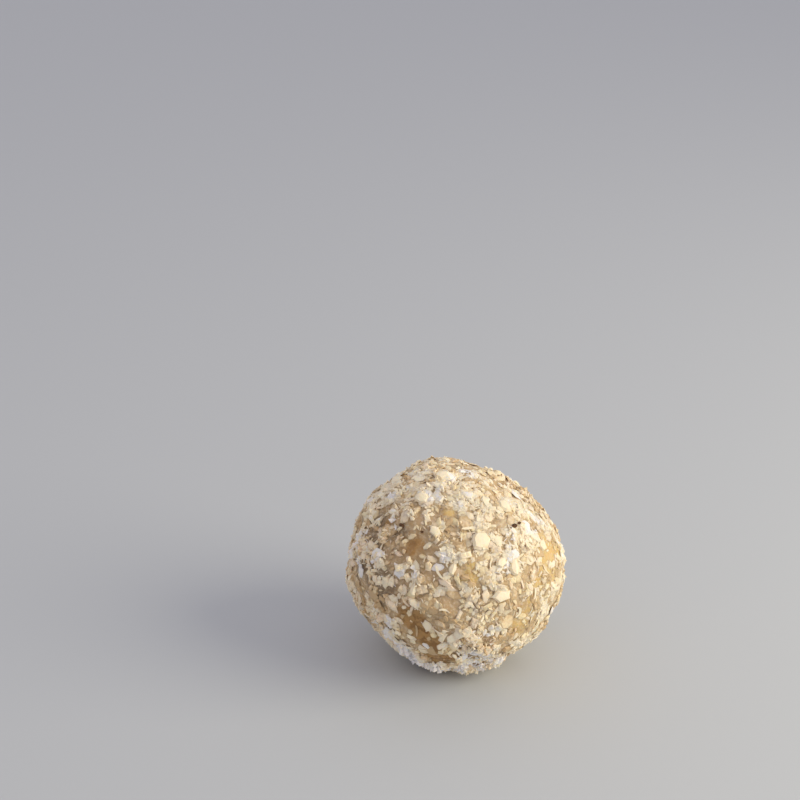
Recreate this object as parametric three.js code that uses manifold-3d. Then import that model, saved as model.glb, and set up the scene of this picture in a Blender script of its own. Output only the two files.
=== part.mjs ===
// An energy ball: fruit and nut paste rolled by hand into a ball and coated with desiccated coconut.
// Millimetres, +Z up, -Y to the front. The origin lies on the table, under the middle of the ball.

import * as THREE from "three";
import { mergeVertices } from "three/addons/utils/BufferGeometryUtils.js";
import Module from "manifold-3d";

// Driving dimensions
const BALL_DIAMETER = 35; // across the coconut
const COAT_DEPTH = 0.5; // how far the coconut stands out of the paste
const FOOT_DIAMETER = 10; // flat spot that the soft ball settles on
const PASTE_RADIUS = BALL_DIAMETER / 2 - COAT_DEPTH;
const MIDDLE_HEIGHT = Math.sqrt(PASTE_RADIUS ** 2 - (FOOT_DIAMETER / 2) ** 2);
const PASTE_DETAIL = 5; // cuts along each side of the icosahedron that the paste starts from

// The front is described as it is seen from this many degrees above the table.
const FRONT_RISE = 30;

// Ripples that the palms leave all over the paste
const RIPPLE_HEIGHT = 0.3;
const RIPPLES_ROUND = 7;
const RIPPLE_SHIFTS = { x: 1, y: 2, z: 3 };

// Lumps and dents, pushed out or in by so much over their reach.
// right and up are measured from the middle of the ball as it is seen from the front.
const LUMPS = [
  { right: 6.8, up: 15, push: -1.9, reach: 13 }, // flat shoulder at the upper right
  { right: 12, up: 11.9, push: -1.6, reach: 11 }, // its lower end
  { right: -11.9, up: -12.5, push: -1.5, reach: 7 }, // notch low on the left
  { right: 16.6, up: 2.5, push: 0.4, reach: 8 }, // fullness at the right
  { right: -14, up: 8, push: 0.35, reach: 9 }, // fullness at the upper left
  { right: -6.5, up: -9.5, push: -0.5, reach: 5 }, // hollow of the bare patch low on the left
  { right: 4, up: -13, push: 0.3, reach: 7 }, // fullness below
  { right: 5, up: 9, push: 0.5, reach: 11, behind: true },
  { right: -8, up: -4, push: -0.6, reach: 10, behind: true },
  { right: 9, up: -6, push: 0.4, reach: 9, behind: true },
];

// Spots where the coconut has rubbed off and the paste shows
const BARE_SPOTS = [
  { right: -6.6, up: -7.6, reach: 2.2 }, // caramel patch low on the left
  { right: -8.3, up: -7.6, reach: 2.2 },
  { right: -7.9, up: -9.7, reach: 2.6 },
  { right: -5, up: -9.7, reach: 1.8 },
  { right: -3.2, up: -12.9, reach: 2.1 }, // its tail
  { right: -4.4, up: -14.8, reach: 2.2 }, // strip by the foot
  { right: -2.6, up: -15, reach: 2.6 },
  { right: -0.8, up: -15.3, reach: 2.4 },
  { right: -7, up: 1.8, reach: 3 }, // tan patch left of the middle
  { right: -3.4, up: 2, reach: 2 },
  { right: 2, up: -1.9, reach: 1.7 }, // small gap at the middle
  { right: 14.8, up: 1.6, reach: 2.8 }, // yellow patch at the right
  { right: 10.4, up: -10, reach: 3.4 }, // thin coat low on the right
  { right: -1, up: 8.1, reach: 1.7 },
  { right: 7.2, up: 7, reach: 1.8 },
  { right: -10.8, up: 6.4, reach: 2.2 },
  { right: 3, up: 7, reach: 3.2, behind: true },
  { right: -9, up: -3, reach: 3.6, behind: true },
  { right: 8, up: -7, reach: 2.6, behind: true },
];

// The largest flakes at the front, each with its turn from level in degrees
const FRONT_FLAKES = [
  { right: 3.8, up: 3.6, length: 3.5, width: 2.9, turn: 30 },
  { right: 7.2, up: -4.9, length: 3.7, width: 2.2, turn: -5 },
  { right: 9.1, up: -0.4, length: 2.9, width: 1.7, turn: 80 },
  { right: 1.5, up: 1.2, length: 2.8, width: 1.4, turn: 12 },
  { right: 7.7, up: 9.3, length: 2.7, width: 2.3, turn: 70 },
  { right: -2.3, up: 13.8, length: 2.6, width: 2.1, turn: 50 },
  { right: -5.4, up: 10, length: 2.4, width: 2.1, turn: 10 },
  { right: -8.7, up: -0.9, length: 2.2, width: 1.5, turn: 30 },
  { right: -7.6, up: -2.4, length: 2, width: 1.3, turn: -50 },
  { right: -6.3, up: -6.4, length: 2.7, width: 1.5, turn: -35 },
  { right: -6.3, up: -4.1, length: 2.1, width: 1.2, turn: 85 },
  { right: -3.3, up: 4.8, length: 2.5, width: 1.7, turn: -40 },
  { right: 7, up: 0.2, length: 2.1, width: 1.7, turn: 15 },
  { right: -0.4, up: -0.8, length: 2.2, width: 1.3, turn: 75 },
];
const FRONT_FLAKE_LEAN = 6; // degrees from lying flat

// Scattered flakes, each a little smaller than the one before it
const FLAKE_COUNT = 320;
const FLAKE_SEED = 20731;
const LARGEST_FLAKE = 3;
const FLAKE_FALL = 0.33; // power by which the length falls with the flake's rank
const FLAKE_RANK = 40; // rank from which the fall is plain
const FLAKE_WIDTH = [0.45, 0.85]; // least and most, of the length
const FLAKE_THICKNESS = [0.5, 0.8]; // least and most
const FLAKE_SIDES = [4, 5]; // of every other flake
const FLAKE_TAPER = 0.82; // of the outer face to the inner one
const FLAKE_SINK = 0.45; // of the thickness, pressed into the paste
const MOST_LEAN = 26; // degrees from lying flat
const CORNER_WANDER = 0.22; // of the half length, by which a corner leaves its oval
const SPREAD_WANDER = 0.05; // by which a flake leaves its place in the even spread

// Steps by powers of the plastic number, the root of x³ = x + 1, fill a square evenly.
const PLASTIC_NUMBER = 1.324717957244746;

// The multiplying generator that the random draws come from
const DRAW_FACTOR = 48271;
const DRAW_RANGE = 2 ** 31 - 1;

const PASTE_FINISH = { color: 0xc9a56f, roughness: 0.75, metalness: 0 };

const wasm = await Module();
wasm.setup();

const radians = THREE.MathUtils.degToRad;
const fraction = (value) => value - Math.floor(value);
const between = ([low, high], share) => low + (high - low) * share;

// Even draws from 0 to 1, always the same for one seed.
function drawsFrom(seed) {
  let state = seed;
  return () => {
    state = (state * DRAW_FACTOR) % DRAW_RANGE;
    return state / DRAW_RANGE;
  };
}

// The direction from the ball's middle to a place seen at the front, or at the same place behind.
function directionOf({ right, up, behind = false }) {
  const radius = BALL_DIAMETER / 2;
  const depth = Math.sqrt(radius ** 2 - right ** 2 - up ** 2);
  return new THREE.Vector3(right, behind ? depth : -depth, up)
    .applyAxisAngle(new THREE.Vector3(1, 0, 0), radians(behind ? FRONT_RISE : -FRONT_RISE))
    .normalize();
}

const placed = (places) => places.map((place) => ({ ...place, direction: directionOf(place) }));
const lumps = placed(LUMPS);
const bareSpots = placed(BARE_SPOTS);

// A soft bump that is 1 at its middle and 0 from its reach on.
function bump(direction, place) {
  const gap = direction.distanceTo(place.direction) * PASTE_RADIUS;
  const height = Math.max(0, 1 - gap / place.reach);
  return height * height * (3 - 2 * height);
}

// How far the paste reaches from the middle of the ball in a direction.
function pasteRadius(direction) {
  const wave = (axis) => Math.sin(RIPPLES_ROUND * direction[axis] + RIPPLE_SHIFTS[axis]);
  const ripple = RIPPLE_HEIGHT * wave("x") * wave("y") * wave("z");
  return lumps.reduce((radius, lump) => radius + lump.push * bump(direction, lump), PASTE_RADIUS + ripple);
}

// A closed geometry as a solid that can be joined and cut.
function solidOf(geometry) {
  geometry.deleteAttribute("normal");
  geometry.deleteAttribute("uv");
  const merged = mergeVertices(geometry);
  return new wasm.Manifold(
    new wasm.Mesh({
      numProp: 3,
      vertProperties: merged.attributes.position.array,
      triVerts: new Uint32Array(merged.index.array),
    }),
  );
}

// A solid as a geometry that a mesh can show.
function geometryOf(solid) {
  const { vertProperties, triVerts } = solid.getMesh();
  return new THREE.BufferGeometry()
    .setAttribute("position", new THREE.BufferAttribute(vertProperties, 3))
    .setIndex(new THREE.BufferAttribute(triVerts, 1));
}

// The bare ball of paste, before it settles on its foot.
function paste() {
  const geometry = new THREE.IcosahedronGeometry(1, PASTE_DETAIL);
  const position = geometry.attributes.position;
  const point = new THREE.Vector3();
  for (let i = 0; i < position.count; i++) {
    point.fromBufferAttribute(position, i).normalize();
    point.multiplyScalar(pasteRadius(point));
    position.setXYZ(i, point.x, point.y, point.z + MIDDLE_HEIGHT);
  }
  return solidOf(geometry);
}

// A flat chip of coconut with uneven corners, its inner face at z = 0.
function chip({ length, width, thickness, sides }, draw) {
  const corners = [];
  for (let k = 0; k < sides; k++) {
    const angle = (2 * Math.PI * (k + 0.5)) / sides;
    const wander = 1 + CORNER_WANDER * between([-1, 1], draw());
    const along = (wander * length * Math.cos(angle)) / 2;
    const across = (wander * width * Math.sin(angle)) / 2;
    corners.push(new THREE.Vector2(along, across));
  }
  const geometry = new THREE.ExtrudeGeometry(new THREE.Shape(corners), {
    depth: thickness,
    bevelEnabled: false,
  });
  const position = geometry.attributes.position;
  for (let i = 0; i < position.count; i++) {
    const taper = position.getZ(i) > 0 ? FLAKE_TAPER : 1;
    position.setXY(i, position.getX(i) * taper, position.getY(i) * taper);
  }
  return geometry;
}

// Lays a chip on the paste: turned about the outward direction, leaning, and pressed in.
function lay(geometry, { direction, thickness, turn, lean, leanTurn }) {
  const level = new THREE.Vector3(0, 0, 1).cross(direction).normalize();
  const rise = direction.clone().cross(level);
  const seat = direction.clone().multiplyScalar(pasteRadius(direction) - FLAKE_SINK * thickness);
  seat.z += MIDDLE_HEIGHT;
  const rest = new THREE.Matrix4().makeBasis(level, rise, direction).setPosition(seat);
  const leanAxis = new THREE.Vector3(Math.cos(leanTurn), Math.sin(leanTurn), 0);
  geometry.rotateZ(turn);
  geometry.applyMatrix4(new THREE.Matrix4().makeRotationAxis(leanAxis, lean));
  return solidOf(geometry.applyMatrix4(rest));
}

// One of the largest flakes, at its own place at the front.
function frontFlake({ right, up, length, width, turn }, draw) {
  const thickness = FLAKE_THICKNESS[1];
  const geometry = chip({ length, width, thickness, sides: FLAKE_SIDES[1] }, draw);
  const direction = directionOf({ right, up });
  const lean = radians(FRONT_FLAKE_LEAN);
  const leanTurn = 2 * Math.PI * draw();
  return lay(geometry, { direction, thickness, turn: radians(turn), lean, leanTurn });
}

// A scattered flake, or nothing where it would fall on a bare spot.
function scatteredFlake(rank, draw) {
  const height = 1 - 2 * fraction(0.5 + rank / PLASTIC_NUMBER + SPREAD_WANDER * draw());
  const around = 2 * Math.PI * fraction(0.5 + rank / PLASTIC_NUMBER ** 2 + SPREAD_WANDER * draw());
  const flat = Math.sqrt(1 - height * height);
  const direction = new THREE.Vector3(flat * Math.cos(around), flat * Math.sin(around), height);
  const length = LARGEST_FLAKE * (1 + rank / FLAKE_RANK) ** -FLAKE_FALL;
  const width = length * between(FLAKE_WIDTH, draw());
  const thickness = between(FLAKE_THICKNESS, draw());
  const turn = 2 * Math.PI * draw();
  const lean = radians(MOST_LEAN * draw());
  const leanTurn = 2 * Math.PI * draw();
  const geometry = chip({ length, width, thickness, sides: FLAKE_SIDES[rank % 2] }, draw);
  const bareness = Math.max(...bareSpots.map((spot) => bump(direction, spot)));
  const isBare = bareness >= draw();
  return isBare ? null : lay(geometry, { direction, thickness, turn, lean, leanTurn });
}

// All the flakes, in the order in which they are drawn.
function flakes() {
  const draw = drawsFrom(FLAKE_SEED);
  const front = FRONT_FLAKES.map((flake) => frontFlake(flake, draw));
  const scattered = Array.from({ length: FLAKE_COUNT }, (_, rank) => scatteredFlake(rank, draw));
  return [...front, ...scattered.filter((flake) => flake)];
}

// The ball in one piece: paste with its flakes, cut off level where it stands on the table.
function energyBall() {
  const ball = flakes().reduce((sum, flake) => sum.add(flake), paste());
  const table = new THREE.BoxGeometry(2 * BALL_DIAMETER, 2 * BALL_DIAMETER, BALL_DIAMETER);
  table.translate(0, 0, -BALL_DIAMETER / 2);
  return ball.subtract(solidOf(table));
}

const ballMesh = new THREE.Mesh(geometryOf(energyBall()), new THREE.MeshStandardMaterial(PASTE_FINISH));
ballMesh.name = "energy_ball";

const group = new THREE.Group();
group.add(ballMesh);

export default group;
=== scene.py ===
"""The looks of an energy ball: fruit and nut paste rolled by hand and coated with desiccated coconut.

Sizes and places are in millimetres. Meshes are made in metres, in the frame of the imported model: +Z up,
-Y to the front, the origin on the table under the middle of the ball.
"""

import logging
import math
from dataclasses import dataclass, field, fields
from enum import Enum

import bpy
import numpy as np
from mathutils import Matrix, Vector
from mathutils.bvhtree import BVHTree


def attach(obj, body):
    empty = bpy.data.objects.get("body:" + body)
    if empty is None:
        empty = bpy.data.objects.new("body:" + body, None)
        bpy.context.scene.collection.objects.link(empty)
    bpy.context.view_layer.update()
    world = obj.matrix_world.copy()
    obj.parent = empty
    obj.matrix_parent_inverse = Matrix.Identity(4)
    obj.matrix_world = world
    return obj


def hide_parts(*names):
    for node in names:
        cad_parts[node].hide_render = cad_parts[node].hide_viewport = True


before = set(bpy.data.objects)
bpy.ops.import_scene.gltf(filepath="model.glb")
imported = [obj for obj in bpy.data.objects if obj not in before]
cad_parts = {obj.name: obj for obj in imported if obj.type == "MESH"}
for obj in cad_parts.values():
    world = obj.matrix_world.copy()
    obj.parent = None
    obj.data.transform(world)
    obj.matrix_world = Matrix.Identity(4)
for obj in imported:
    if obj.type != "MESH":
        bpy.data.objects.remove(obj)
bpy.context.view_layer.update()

log = logging.getLogger("energy_ball")

NODE = "energy_ball"
BODY = "root"
MM = 0.001
FULL_TURN = 2 * math.pi

BALL_DIAMETER = 35.0
# Distance from the middle of the ball to spots just inside its outline
RIM = 17.1
# The front is described as it is seen from this many degrees above the table.
FRONT_RISE = math.radians(30)
# Steps by powers of the plastic number, the root of x³ = x + 1, fill a square evenly.
PLASTIC_NUMBER = 1.324717957244746
# Patterns are drawn as numbers below this one and counted round.
PATTERN_DRAWS = 100


@dataclass(frozen=True)
class Place:
    """A spot on the ball, measured from its middle as it is seen from the front.

    Attributes:
        right: distance to the right of the middle.
        up: distance up from the middle.
        reach: distance over which the spot fades out.
        amount: strength at the middle of the spot.
        behind: whether the spot is on the back.
    """

    right: float
    up: float
    reach: float = 1.0
    amount: float = 1.0
    behind: bool = False

    def direction(self) -> np.ndarray:
        """Finds the unit vector from the middle of the ball to the spot.

        Returns:
            The direction as three numbers.
        """
        radius = BALL_DIAMETER / 2
        depth = math.sqrt(max(0.0, radius**2 - self.right**2 - self.up**2))
        side = 1 if self.behind else -1
        level = side * (depth * math.cos(FRONT_RISE) - self.up * math.sin(FRONT_RISE))
        height = depth * math.sin(FRONT_RISE) + self.up * math.cos(FRONT_RISE)
        return np.array((self.right, level, height)) / radius


def spots(*rows: tuple[float, ...], behind: bool = False) -> tuple[Place, ...]:
    """Makes spots from rows of right, up, reach and amount, on the front or on the back."""
    return tuple(Place(*row, behind=behind) for row in rows)


def arc(first: float, last: float, count: int, reach: float, amount: float) -> tuple[Place, ...]:
    """Spaces spots just inside the front's outline, between two angles from the right in degrees."""
    turns = np.radians(np.linspace(first, last, count))
    return tuple(Place(RIM * math.cos(turn), RIM * math.sin(turn), reach, amount) for turn in turns)


def spread_direction(first: np.ndarray | float, second: np.ndarray | float) -> np.ndarray:
    """Spreads places in a square evenly over the ball.

    Args:
        first: first coordinate of each place, counted round from 0 to 1.
        second: second coordinate.

    Returns:
        A unit vector for each place.
    """
    height = 1 - 2 * (first % 1)
    flat = np.sqrt(1 - height * height)
    around = FULL_TURN * (second % 1)
    return np.stack((flat * np.cos(around), flat * np.sin(around), height), axis=-1)


@dataclass(frozen=True)
class BallForm:
    """The rounded form of the paste, the same as that of the solid.

    Attributes:
        paste_radius: radius of the paste under the coconut.
        foot_diameter: width of the flat spot that the ball rests on.
        ripple_height: height of the ripples that the palms leave.
        ripples_round: how closely the ripples follow each other.
        ripple_shifts: shift of the ripples along each axis.
        lumps: places that are pushed out or in.
    """

    paste_radius: float = BALL_DIAMETER / 2 - 0.5
    foot_diameter: float = 10.0
    ripple_height: float = 0.3
    ripples_round: float = 7.0
    ripple_shifts: tuple[float, float, float] = (1.0, 2.0, 3.0)
    lumps: tuple[Place, ...] = (
        *spots((6.8, 15, 13, -1.9), (12, 11.9, 11, -1.6), (-11.9, -12.5, 7, -1.5), (16.6, 2.5, 8, 0.4)),
        *spots((-14, 8, 9, 0.35), (-6.5, -9.5, 5, -0.5), (4, -13, 7, 0.3)),
        *spots((5, 9, 11, 0.5), (-8, -4, 10, -0.6), (9, -6, 9, 0.4), behind=True),
    )

    @property
    def middle_height(self) -> float:
        """Height of the middle of the ball above the table."""
        return math.sqrt(self.paste_radius**2 - (self.foot_diameter / 2) ** 2)

    @property
    def middle(self) -> np.ndarray:
        """The middle of the ball."""
        return np.array((0, 0, self.middle_height))

    def strength(self, directions: np.ndarray, place: Place) -> np.ndarray:
        """Measures a spot that is 1 at its middle and fades to 0 at its reach.

        Args:
            directions: unit vectors, one in each row.
            place: the spot.

        Returns:
            The strength for each direction, without the spot's amount.
        """
        gap = np.linalg.norm(directions - place.direction(), axis=-1) * self.paste_radius
        height = np.clip(1 - gap / place.reach, 0, 1)
        return height * height * (3 - 2 * height)

    def summed(self, directions: np.ndarray, places: tuple[Place, ...]) -> np.ndarray:
        """Adds up the amounts of several spots for each direction."""
        return sum(place.amount * self.strength(directions, place) for place in places)

    def radius(self, directions: np.ndarray) -> np.ndarray:
        """Finds how far the paste reaches from the middle of the ball.

        Args:
            directions: unit vectors, one in each row.

        Returns:
            The radius for each direction.
        """
        waves = np.sin(self.ripples_round * directions + np.array(self.ripple_shifts))
        ripple = self.ripple_height * waves.prod(axis=-1)
        return self.paste_radius + ripple + self.summed(directions, self.lumps)


@dataclass(frozen=True)
class CoatPlan:
    """Where the coconut lies thick and where it has rubbed off.

    Attributes:
        form: the form of the ball.
        bare_spots: places where the paste shows. The amount counts for the finer coconut alone.
        thick_spots: places that have more coconut, or less where the amount is below 0.
        soaked_spots: places where the coconut is whiter, or more soaked where the amount is below 0. Some
            paint light and shade: whiter along the upper right outline, partly painted sheen; darker at the
            left edge as painted shade and at the top right edge partly as painted shadow; very high along
            the bottom fringe for its grey painted shade.
        coat_spots: places with more and whiter coconut, or less and more soaked; the one at the far left
            edge is painted shade.
        loose_spots, smooth_spots: places where the coconut is loose and fuzzy, or pressed smooth.
        coat_cover, coat_shade: how much the coat spots change the cover and the colour.
        usual_cover, least_cover: usual share of places that get coconut, and the least but for bare spots.
        patches, shades: lengths over which cover and colour change, each with how much they change.
        clumping: how much more both change where the coconut is loose.
        clump_height, smooth_clumps: height of the clumps, and how much lower they are where pressed.
        loose_depth, press_depth: how far the paste lies back under loose and under pressed coconut.
        wave_count: how many waves of each length are added up.
        cover_seed, shade_seed: seeds of the cover and of the colour.
    """

    form: BallForm
    bare_spots: tuple[Place, ...] = (
        # The caramel patch low on the left, its tail and the strip by the foot
        *spots((-6.6, -7.6, 2.2), (-8.3, -7.6, 2.2), (-7.9, -9.7, 2.6), (-5, -9.7, 1.8)),
        *spots((-3.2, -12.9, 2.1), (-4.4, -14.8, 2.2, 0.5), (-2.6, -15, 2.6), (-0.8, -15.3, 2.4)),
        # The tan patch, the gap at the middle, the gold patch at the right and the thin coat under it
        *spots((-7, 1.8, 3), (-3.4, 2, 2), (2, -1.9, 1.7), (14.8, 1.6, 2.8), (10.4, -10, 3.4, 0.7)),
        # Small gaps higher up, and the back
        *spots((-1, 8.1, 1.7), (7.2, 7, 1.8), (-10.8, 6.4, 2.2)),
        *spots((3, 7, 3.2), (-9, -3, 3.6), (8, -7, 2.6), behind=True),
    )
    thick_spots: tuple[Place, ...] = (
        *spots((12, 4.5, 5, 0.5), (4, 3.5, 5, 0.25), (-12.5, 0, 8, -0.5), (-12.8, -8.5, 4, 0.4)),
        *spots((0.5, -16.4, 4, 0.5), (4, -12.4, 3, -0.5), (-3.4, -12.8, 2.2, -1), (-2, 13, 5, 0.25)),
        *spots((-7, 0, 10, -0.34), (-6.9, -9, 5, -0.8), (-4.4, -11.6, 4, -1)),
        *arc(222, 246, 4, 3, 0.45),
        *spots((-1.6, -15, 3.2, -0.9), (0.2, -14.9, 1.8, -0.9), (11, -9, 6.5, -0.25)),
        *arc(72, 26, 6, 4.5, 0.15),
        *spots((14.8, 2.9, 2.8, -1), (15.9, 2, 2, -0.9)),
        *arc(-26, -58, 4, 4, -0.1),
        *spots((9, 6, 1.5, -1), (-8.4, 5.6, 1.8, -0.6)),
        *spots((-6, -3, 6, 0.4), (9, 3, 6, 0.4), behind=True),
    )
    soaked_spots: tuple[Place, ...] = (
        *spots((10, -8, 8, -0.33), (14.8, 1.6, 4, -0.2), (-6.6, -9, 5, -0.2), (10, 6, 10, 0.15)),
        # Whiter along the upper right outline: partly the coconut's own colour, partly painted sheen of
        # grazing light.
        *arc(80, 58, 3, 5, 0.15),
        *arc(48, 22, 4, 5, 0.25),
        # (6.9, 14.7) here and (8.8, 13.5) below make the top right edge darker: partly its tan colour,
        # partly painted shadow where a neighbouring ball touches.
        *spots((2.2, 16, 3.4, 0.8), (10.9, 2.8, 3, 0.5), (6.9, 14.7, 3.2, -0.9), (13.5, 8.8, 3, 0.6)),
        *spots((8.7, 3.5, 2.6, 0.7), (10.8, 0.2, 2.4, -0.4), (9.2, -5.1, 2.4, -0.5), (0.9, -1.5, 2, -0.5)),
        *spots((7.5, -11.6, 3, -0.4), (-14.3, 7.5, 3, -0.7), (-5.4, 9.3, 2.6, 0.4)),
        *spots((-0.4, 13.7, 2.6, -0.4), (8, -8.5, 2.6, 0.4), (-13.9, -8.3, 3, -0.5)),
        *spots((-6.4, -6.4, 2.6, 0.5), (1.2, -6.2, 2.6, 0.45), (4, -3.2, 2.6, 0.45)),
        *spots((3.3, -7.5, 2.6, 0.35), (-12.4, 9, 3.2, 0.5)),
        # Painted shade: darker coconut at the shaded left edge.
        *arc(164, 186, 3, 3.5, -0.25),
        *spots((8.8, 13.5, 4, -0.7)),
        *arc(214, 240, 3, 4.5, 0.45),
        # These push the tones along the bottom fringe up into the coconut's grey painted shade.
        *arc(250, 292, 5, 3.6, 1.2),
        *spots((4, -14.9, 5, 0.7)),
        *spots((-9, -3, 8, -0.2), (9, 4, 8, 0.15), behind=True),
    )
    coat_spots: tuple[Place, ...] = spots(
        (-1.5, -7.7, 4.5, -0.8), (-1.6, -7, 2.6, -0.5), (-1.5, 7.5, 2.4, -0.7), (-2.4, -4, 2.2, 0.5),
        # Below, (-16.2, -0.6) thins and darkens the coat at the left edge as painted shade.
        (-12.2, -4.4, 4, -1), (-16.2, -0.6, 3, -0.9), (13.4, 9.1, 3, 1.2), (-7, -14.7, 4, 1.3),
        (-9.6, -13.2, 3, 0.7), (2.7, -16, 3, 0.9), (2.3, -1.1, 3, -1.1), (-2.5, -9.8, 2.4, -0.5),
        (-12.8, 9.9, 4, 1.1), (3.1, 9.2, 3.5, 0.9), (-0.1, 10, 2, 0.4), (-5, 14, 3.4, 0.7),
        (-5.1, 9.4, 2, 0.5), (-10, 7.7, 2.5, -0.5), (1.8, 15.9, 3, 0.9), (14.6, -2.3, 3.6, -1),
        (-9.4, -8.7, 2.5, 0.6), (-7.2, -1.3, 2.8, 1), (0.1, 0.9, 2.5, 0.9), (-3.3, 4.2, 2.2, 0.6),
        (-0.9, 3.3, 2, 0.4), (1.6, -4.5, 2.2, 0.5), (-3.9, 0.2, 2.2, -0.5), (3.1, -8, 2.8, 0.8),
        (14.8, 6.4, 3.5, 0.8), (11.6, 2.9, 3, 0.5), (11.1, -0.6, 2.4, -0.4), (-8.8, 5, 4, -0.8),
        (-0.2, -5, 3, -0.4), (-14.2, 2.6, 3, 0.8), (-14.9, 6.2, 3, -0.9), (1.7, 6.2, 2.5, -0.35),
        (4.5, -5.9, 3, -1.1), (0.8, -14.1, 2, 0.5), (-10.8, -5.8, 2.5, -0.5), (-11.7, 5.6, 2.5, -0.4),
        (-13.8, -8.2, 2.5, -0.4), (7.8, 14.2, 2.6, -0.4), (6.7, -2.5, 2.4, 0.5), (4.1, 1.1, 2.2, -0.4),
        (-10.3, 10.1, 2.5, 0.5), (8.8, -6, 2.6, -0.8), (14.5, -5, 2.8, 1.2), (7.2, -11.9, 3, -0.4),
        (6.6, 0.2, 3, 0.6), (-6.5, 8, 3, -0.6), (-6.3, -6.5, 2.2, 0.9), (-8.7, -5.2, 2.5, 0.9),
        (1.9, -13.4, 3, 0.5), (-1, -13.1, 2, 0.6), (-13.4, 0.4, 2.5, 0.6), (10.7, 7.3, 2.5, -0.5),
        (-3.6, -14.4, 2.2, -0.8), (-1.8, -14.6, 2.4, -0.8),
    )
    loose_spots: tuple[Place, ...] = (
        *spots((-14, 2, 7, 0.8), (-11.6, -9, 5, 0.8), (-10.5, 5.5, 4.5, 0.6), (-10.5, -4, 4, 0.5)),
        *spots((3.5, -12.6, 6, 0.8)),
        *arc(172, 208, 4, 4, 0.35),
        *arc(214, 240, 3, 4.5, 0.9),
        *arc(250, 292, 5, 4.5, 1),
        *spots((-7, -1, 8, 0.5), (-7, -14.8, 3, 0.7), (-2, 13, 5, 0.4), (17.2, 3, 2, 0.8)),
        *spots((-6, -3, 7, 0.8), (8, -9, 7, 0.9), (9, 8, 6, 0.5), behind=True),
    )
    smooth_spots: tuple[Place, ...] = (
        *spots((11.5, -7.5, 8, 0.6), (14.8, 1.6, 4, 0.8)),
        *arc(84, 22, 8, 5, 0.45),
        *arc(-20, -60, 5, 4.5, 0.5),
        *spots((4, 7, 7, 0.8), (-8, 6, 6, 0.6), behind=True),
    )
    coat_cover: float = 0.8
    coat_shade: float = 0.6
    usual_cover: float = 0.72
    least_cover: float = 0.12
    patches: tuple[tuple[float, float], ...] = ((8.0, 0.18), (4.5, 0.23), (2.6, 0.19))
    shades: tuple[tuple[float, float], ...] = ((9.0, 0.12), (4.6, 0.25), (2.4, 0.24))
    clumping: float = 1.0
    clump_height: float = 0.45
    smooth_clumps: float = 0.6
    loose_depth: float = 0.55
    press_depth: float = 0.6
    wave_count: int = 40
    cover_seed: int = 11
    shade_seed: int = 12

    def bareness(self, directions: np.ndarray) -> np.ndarray:
        """Finds the strongest bare spot for each direction, from 0 to 1."""
        return np.max([self.form.strength(directions, spot) for spot in self.bare_spots], axis=0)

    def thinness(self, directions: np.ndarray) -> np.ndarray:
        """Finds how thin the finer coconut is for each direction, from 0 to 1."""
        return np.max([s.amount * self.form.strength(directions, s) for s in self.bare_spots], axis=0)

    def looseness(self, directions: np.ndarray) -> np.ndarray:
        """Finds how loose the coconut is for each direction, from 0 to 1."""
        return np.clip(self.form.summed(directions, self.loose_spots), 0, 1)

    def smoothness(self, directions: np.ndarray) -> np.ndarray:
        """Finds how smooth the coconut is pressed for each direction, from 0 to 1."""
        return np.clip(self.form.summed(directions, self.smooth_spots), 0, 1)

    def unevenness(
        self, directions: np.ndarray, scales: tuple[tuple[float, float], ...], seed: int
    ) -> np.ndarray:
        """Adds up waves that run in all directions, stronger where the coconut is loose.

        Args:
            directions: unit vectors, one in each row.
            scales: lengths of the waves, each with how much they change.
            seed: seed of the waves.

        Returns:
            The change for each direction.
        """
        draw = np.random.default_rng(seed)
        change = np.zeros(len(directions))
        for size, depth in scales:
            axes = draw.normal(size=(self.wave_count, 3))
            axes *= FULL_TURN * self.form.paste_radius / size / np.linalg.norm(axes, axis=1)[:, None]
            shifts = draw.uniform(0, FULL_TURN, self.wave_count)
            waves = np.sin(directions @ axes.T + shifts).sum(axis=1)
            change += depth * waves / math.sqrt(self.wave_count / 2)
        return change * (1 + self.clumping * self.looseness(directions))

    def relief(self, directions: np.ndarray) -> np.ndarray:
        """Finds how far the clumps rise above the rounded form.

        Args:
            directions: unit vectors, one in each row.

        Returns:
            The height for each direction, below 0 between the clumps.
        """
        heights = self.clump_height * self.unevenness(directions, self.patches, self.cover_seed)
        smooth = self.smoothness(directions)
        heights *= 1 - self.smooth_clumps * smooth
        return heights - self.loose_depth * self.looseness(directions) - self.press_depth * smooth

    def cover(self, directions: np.ndarray) -> np.ndarray:
        """Finds the share of places that get coconut.

        Args:
            directions: unit vectors, one in each row.

        Returns:
            A share from 0 to 1 for each direction.
        """
        share = self.usual_cover + self.form.summed(directions, self.thick_spots)
        share += self.coat_cover * self.form.summed(directions, self.coat_spots)
        share += self.unevenness(directions, self.patches, self.cover_seed)
        return np.clip(share, self.least_cover, 1) * (1 - self.thinness(directions))

    def shade(self, directions: np.ndarray) -> np.ndarray:
        """Finds how much whiter than usual the coconut is.

        Args:
            directions: unit vectors, one in each row.

        Returns:
            The change for each direction, below 0 where the coconut is more soaked.
        """
        whiter = self.unevenness(directions, self.shades, self.shade_seed)
        whiter += self.form.summed(directions, self.soaked_spots)
        return whiter + self.coat_shade * self.form.summed(directions, self.coat_spots)


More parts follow.
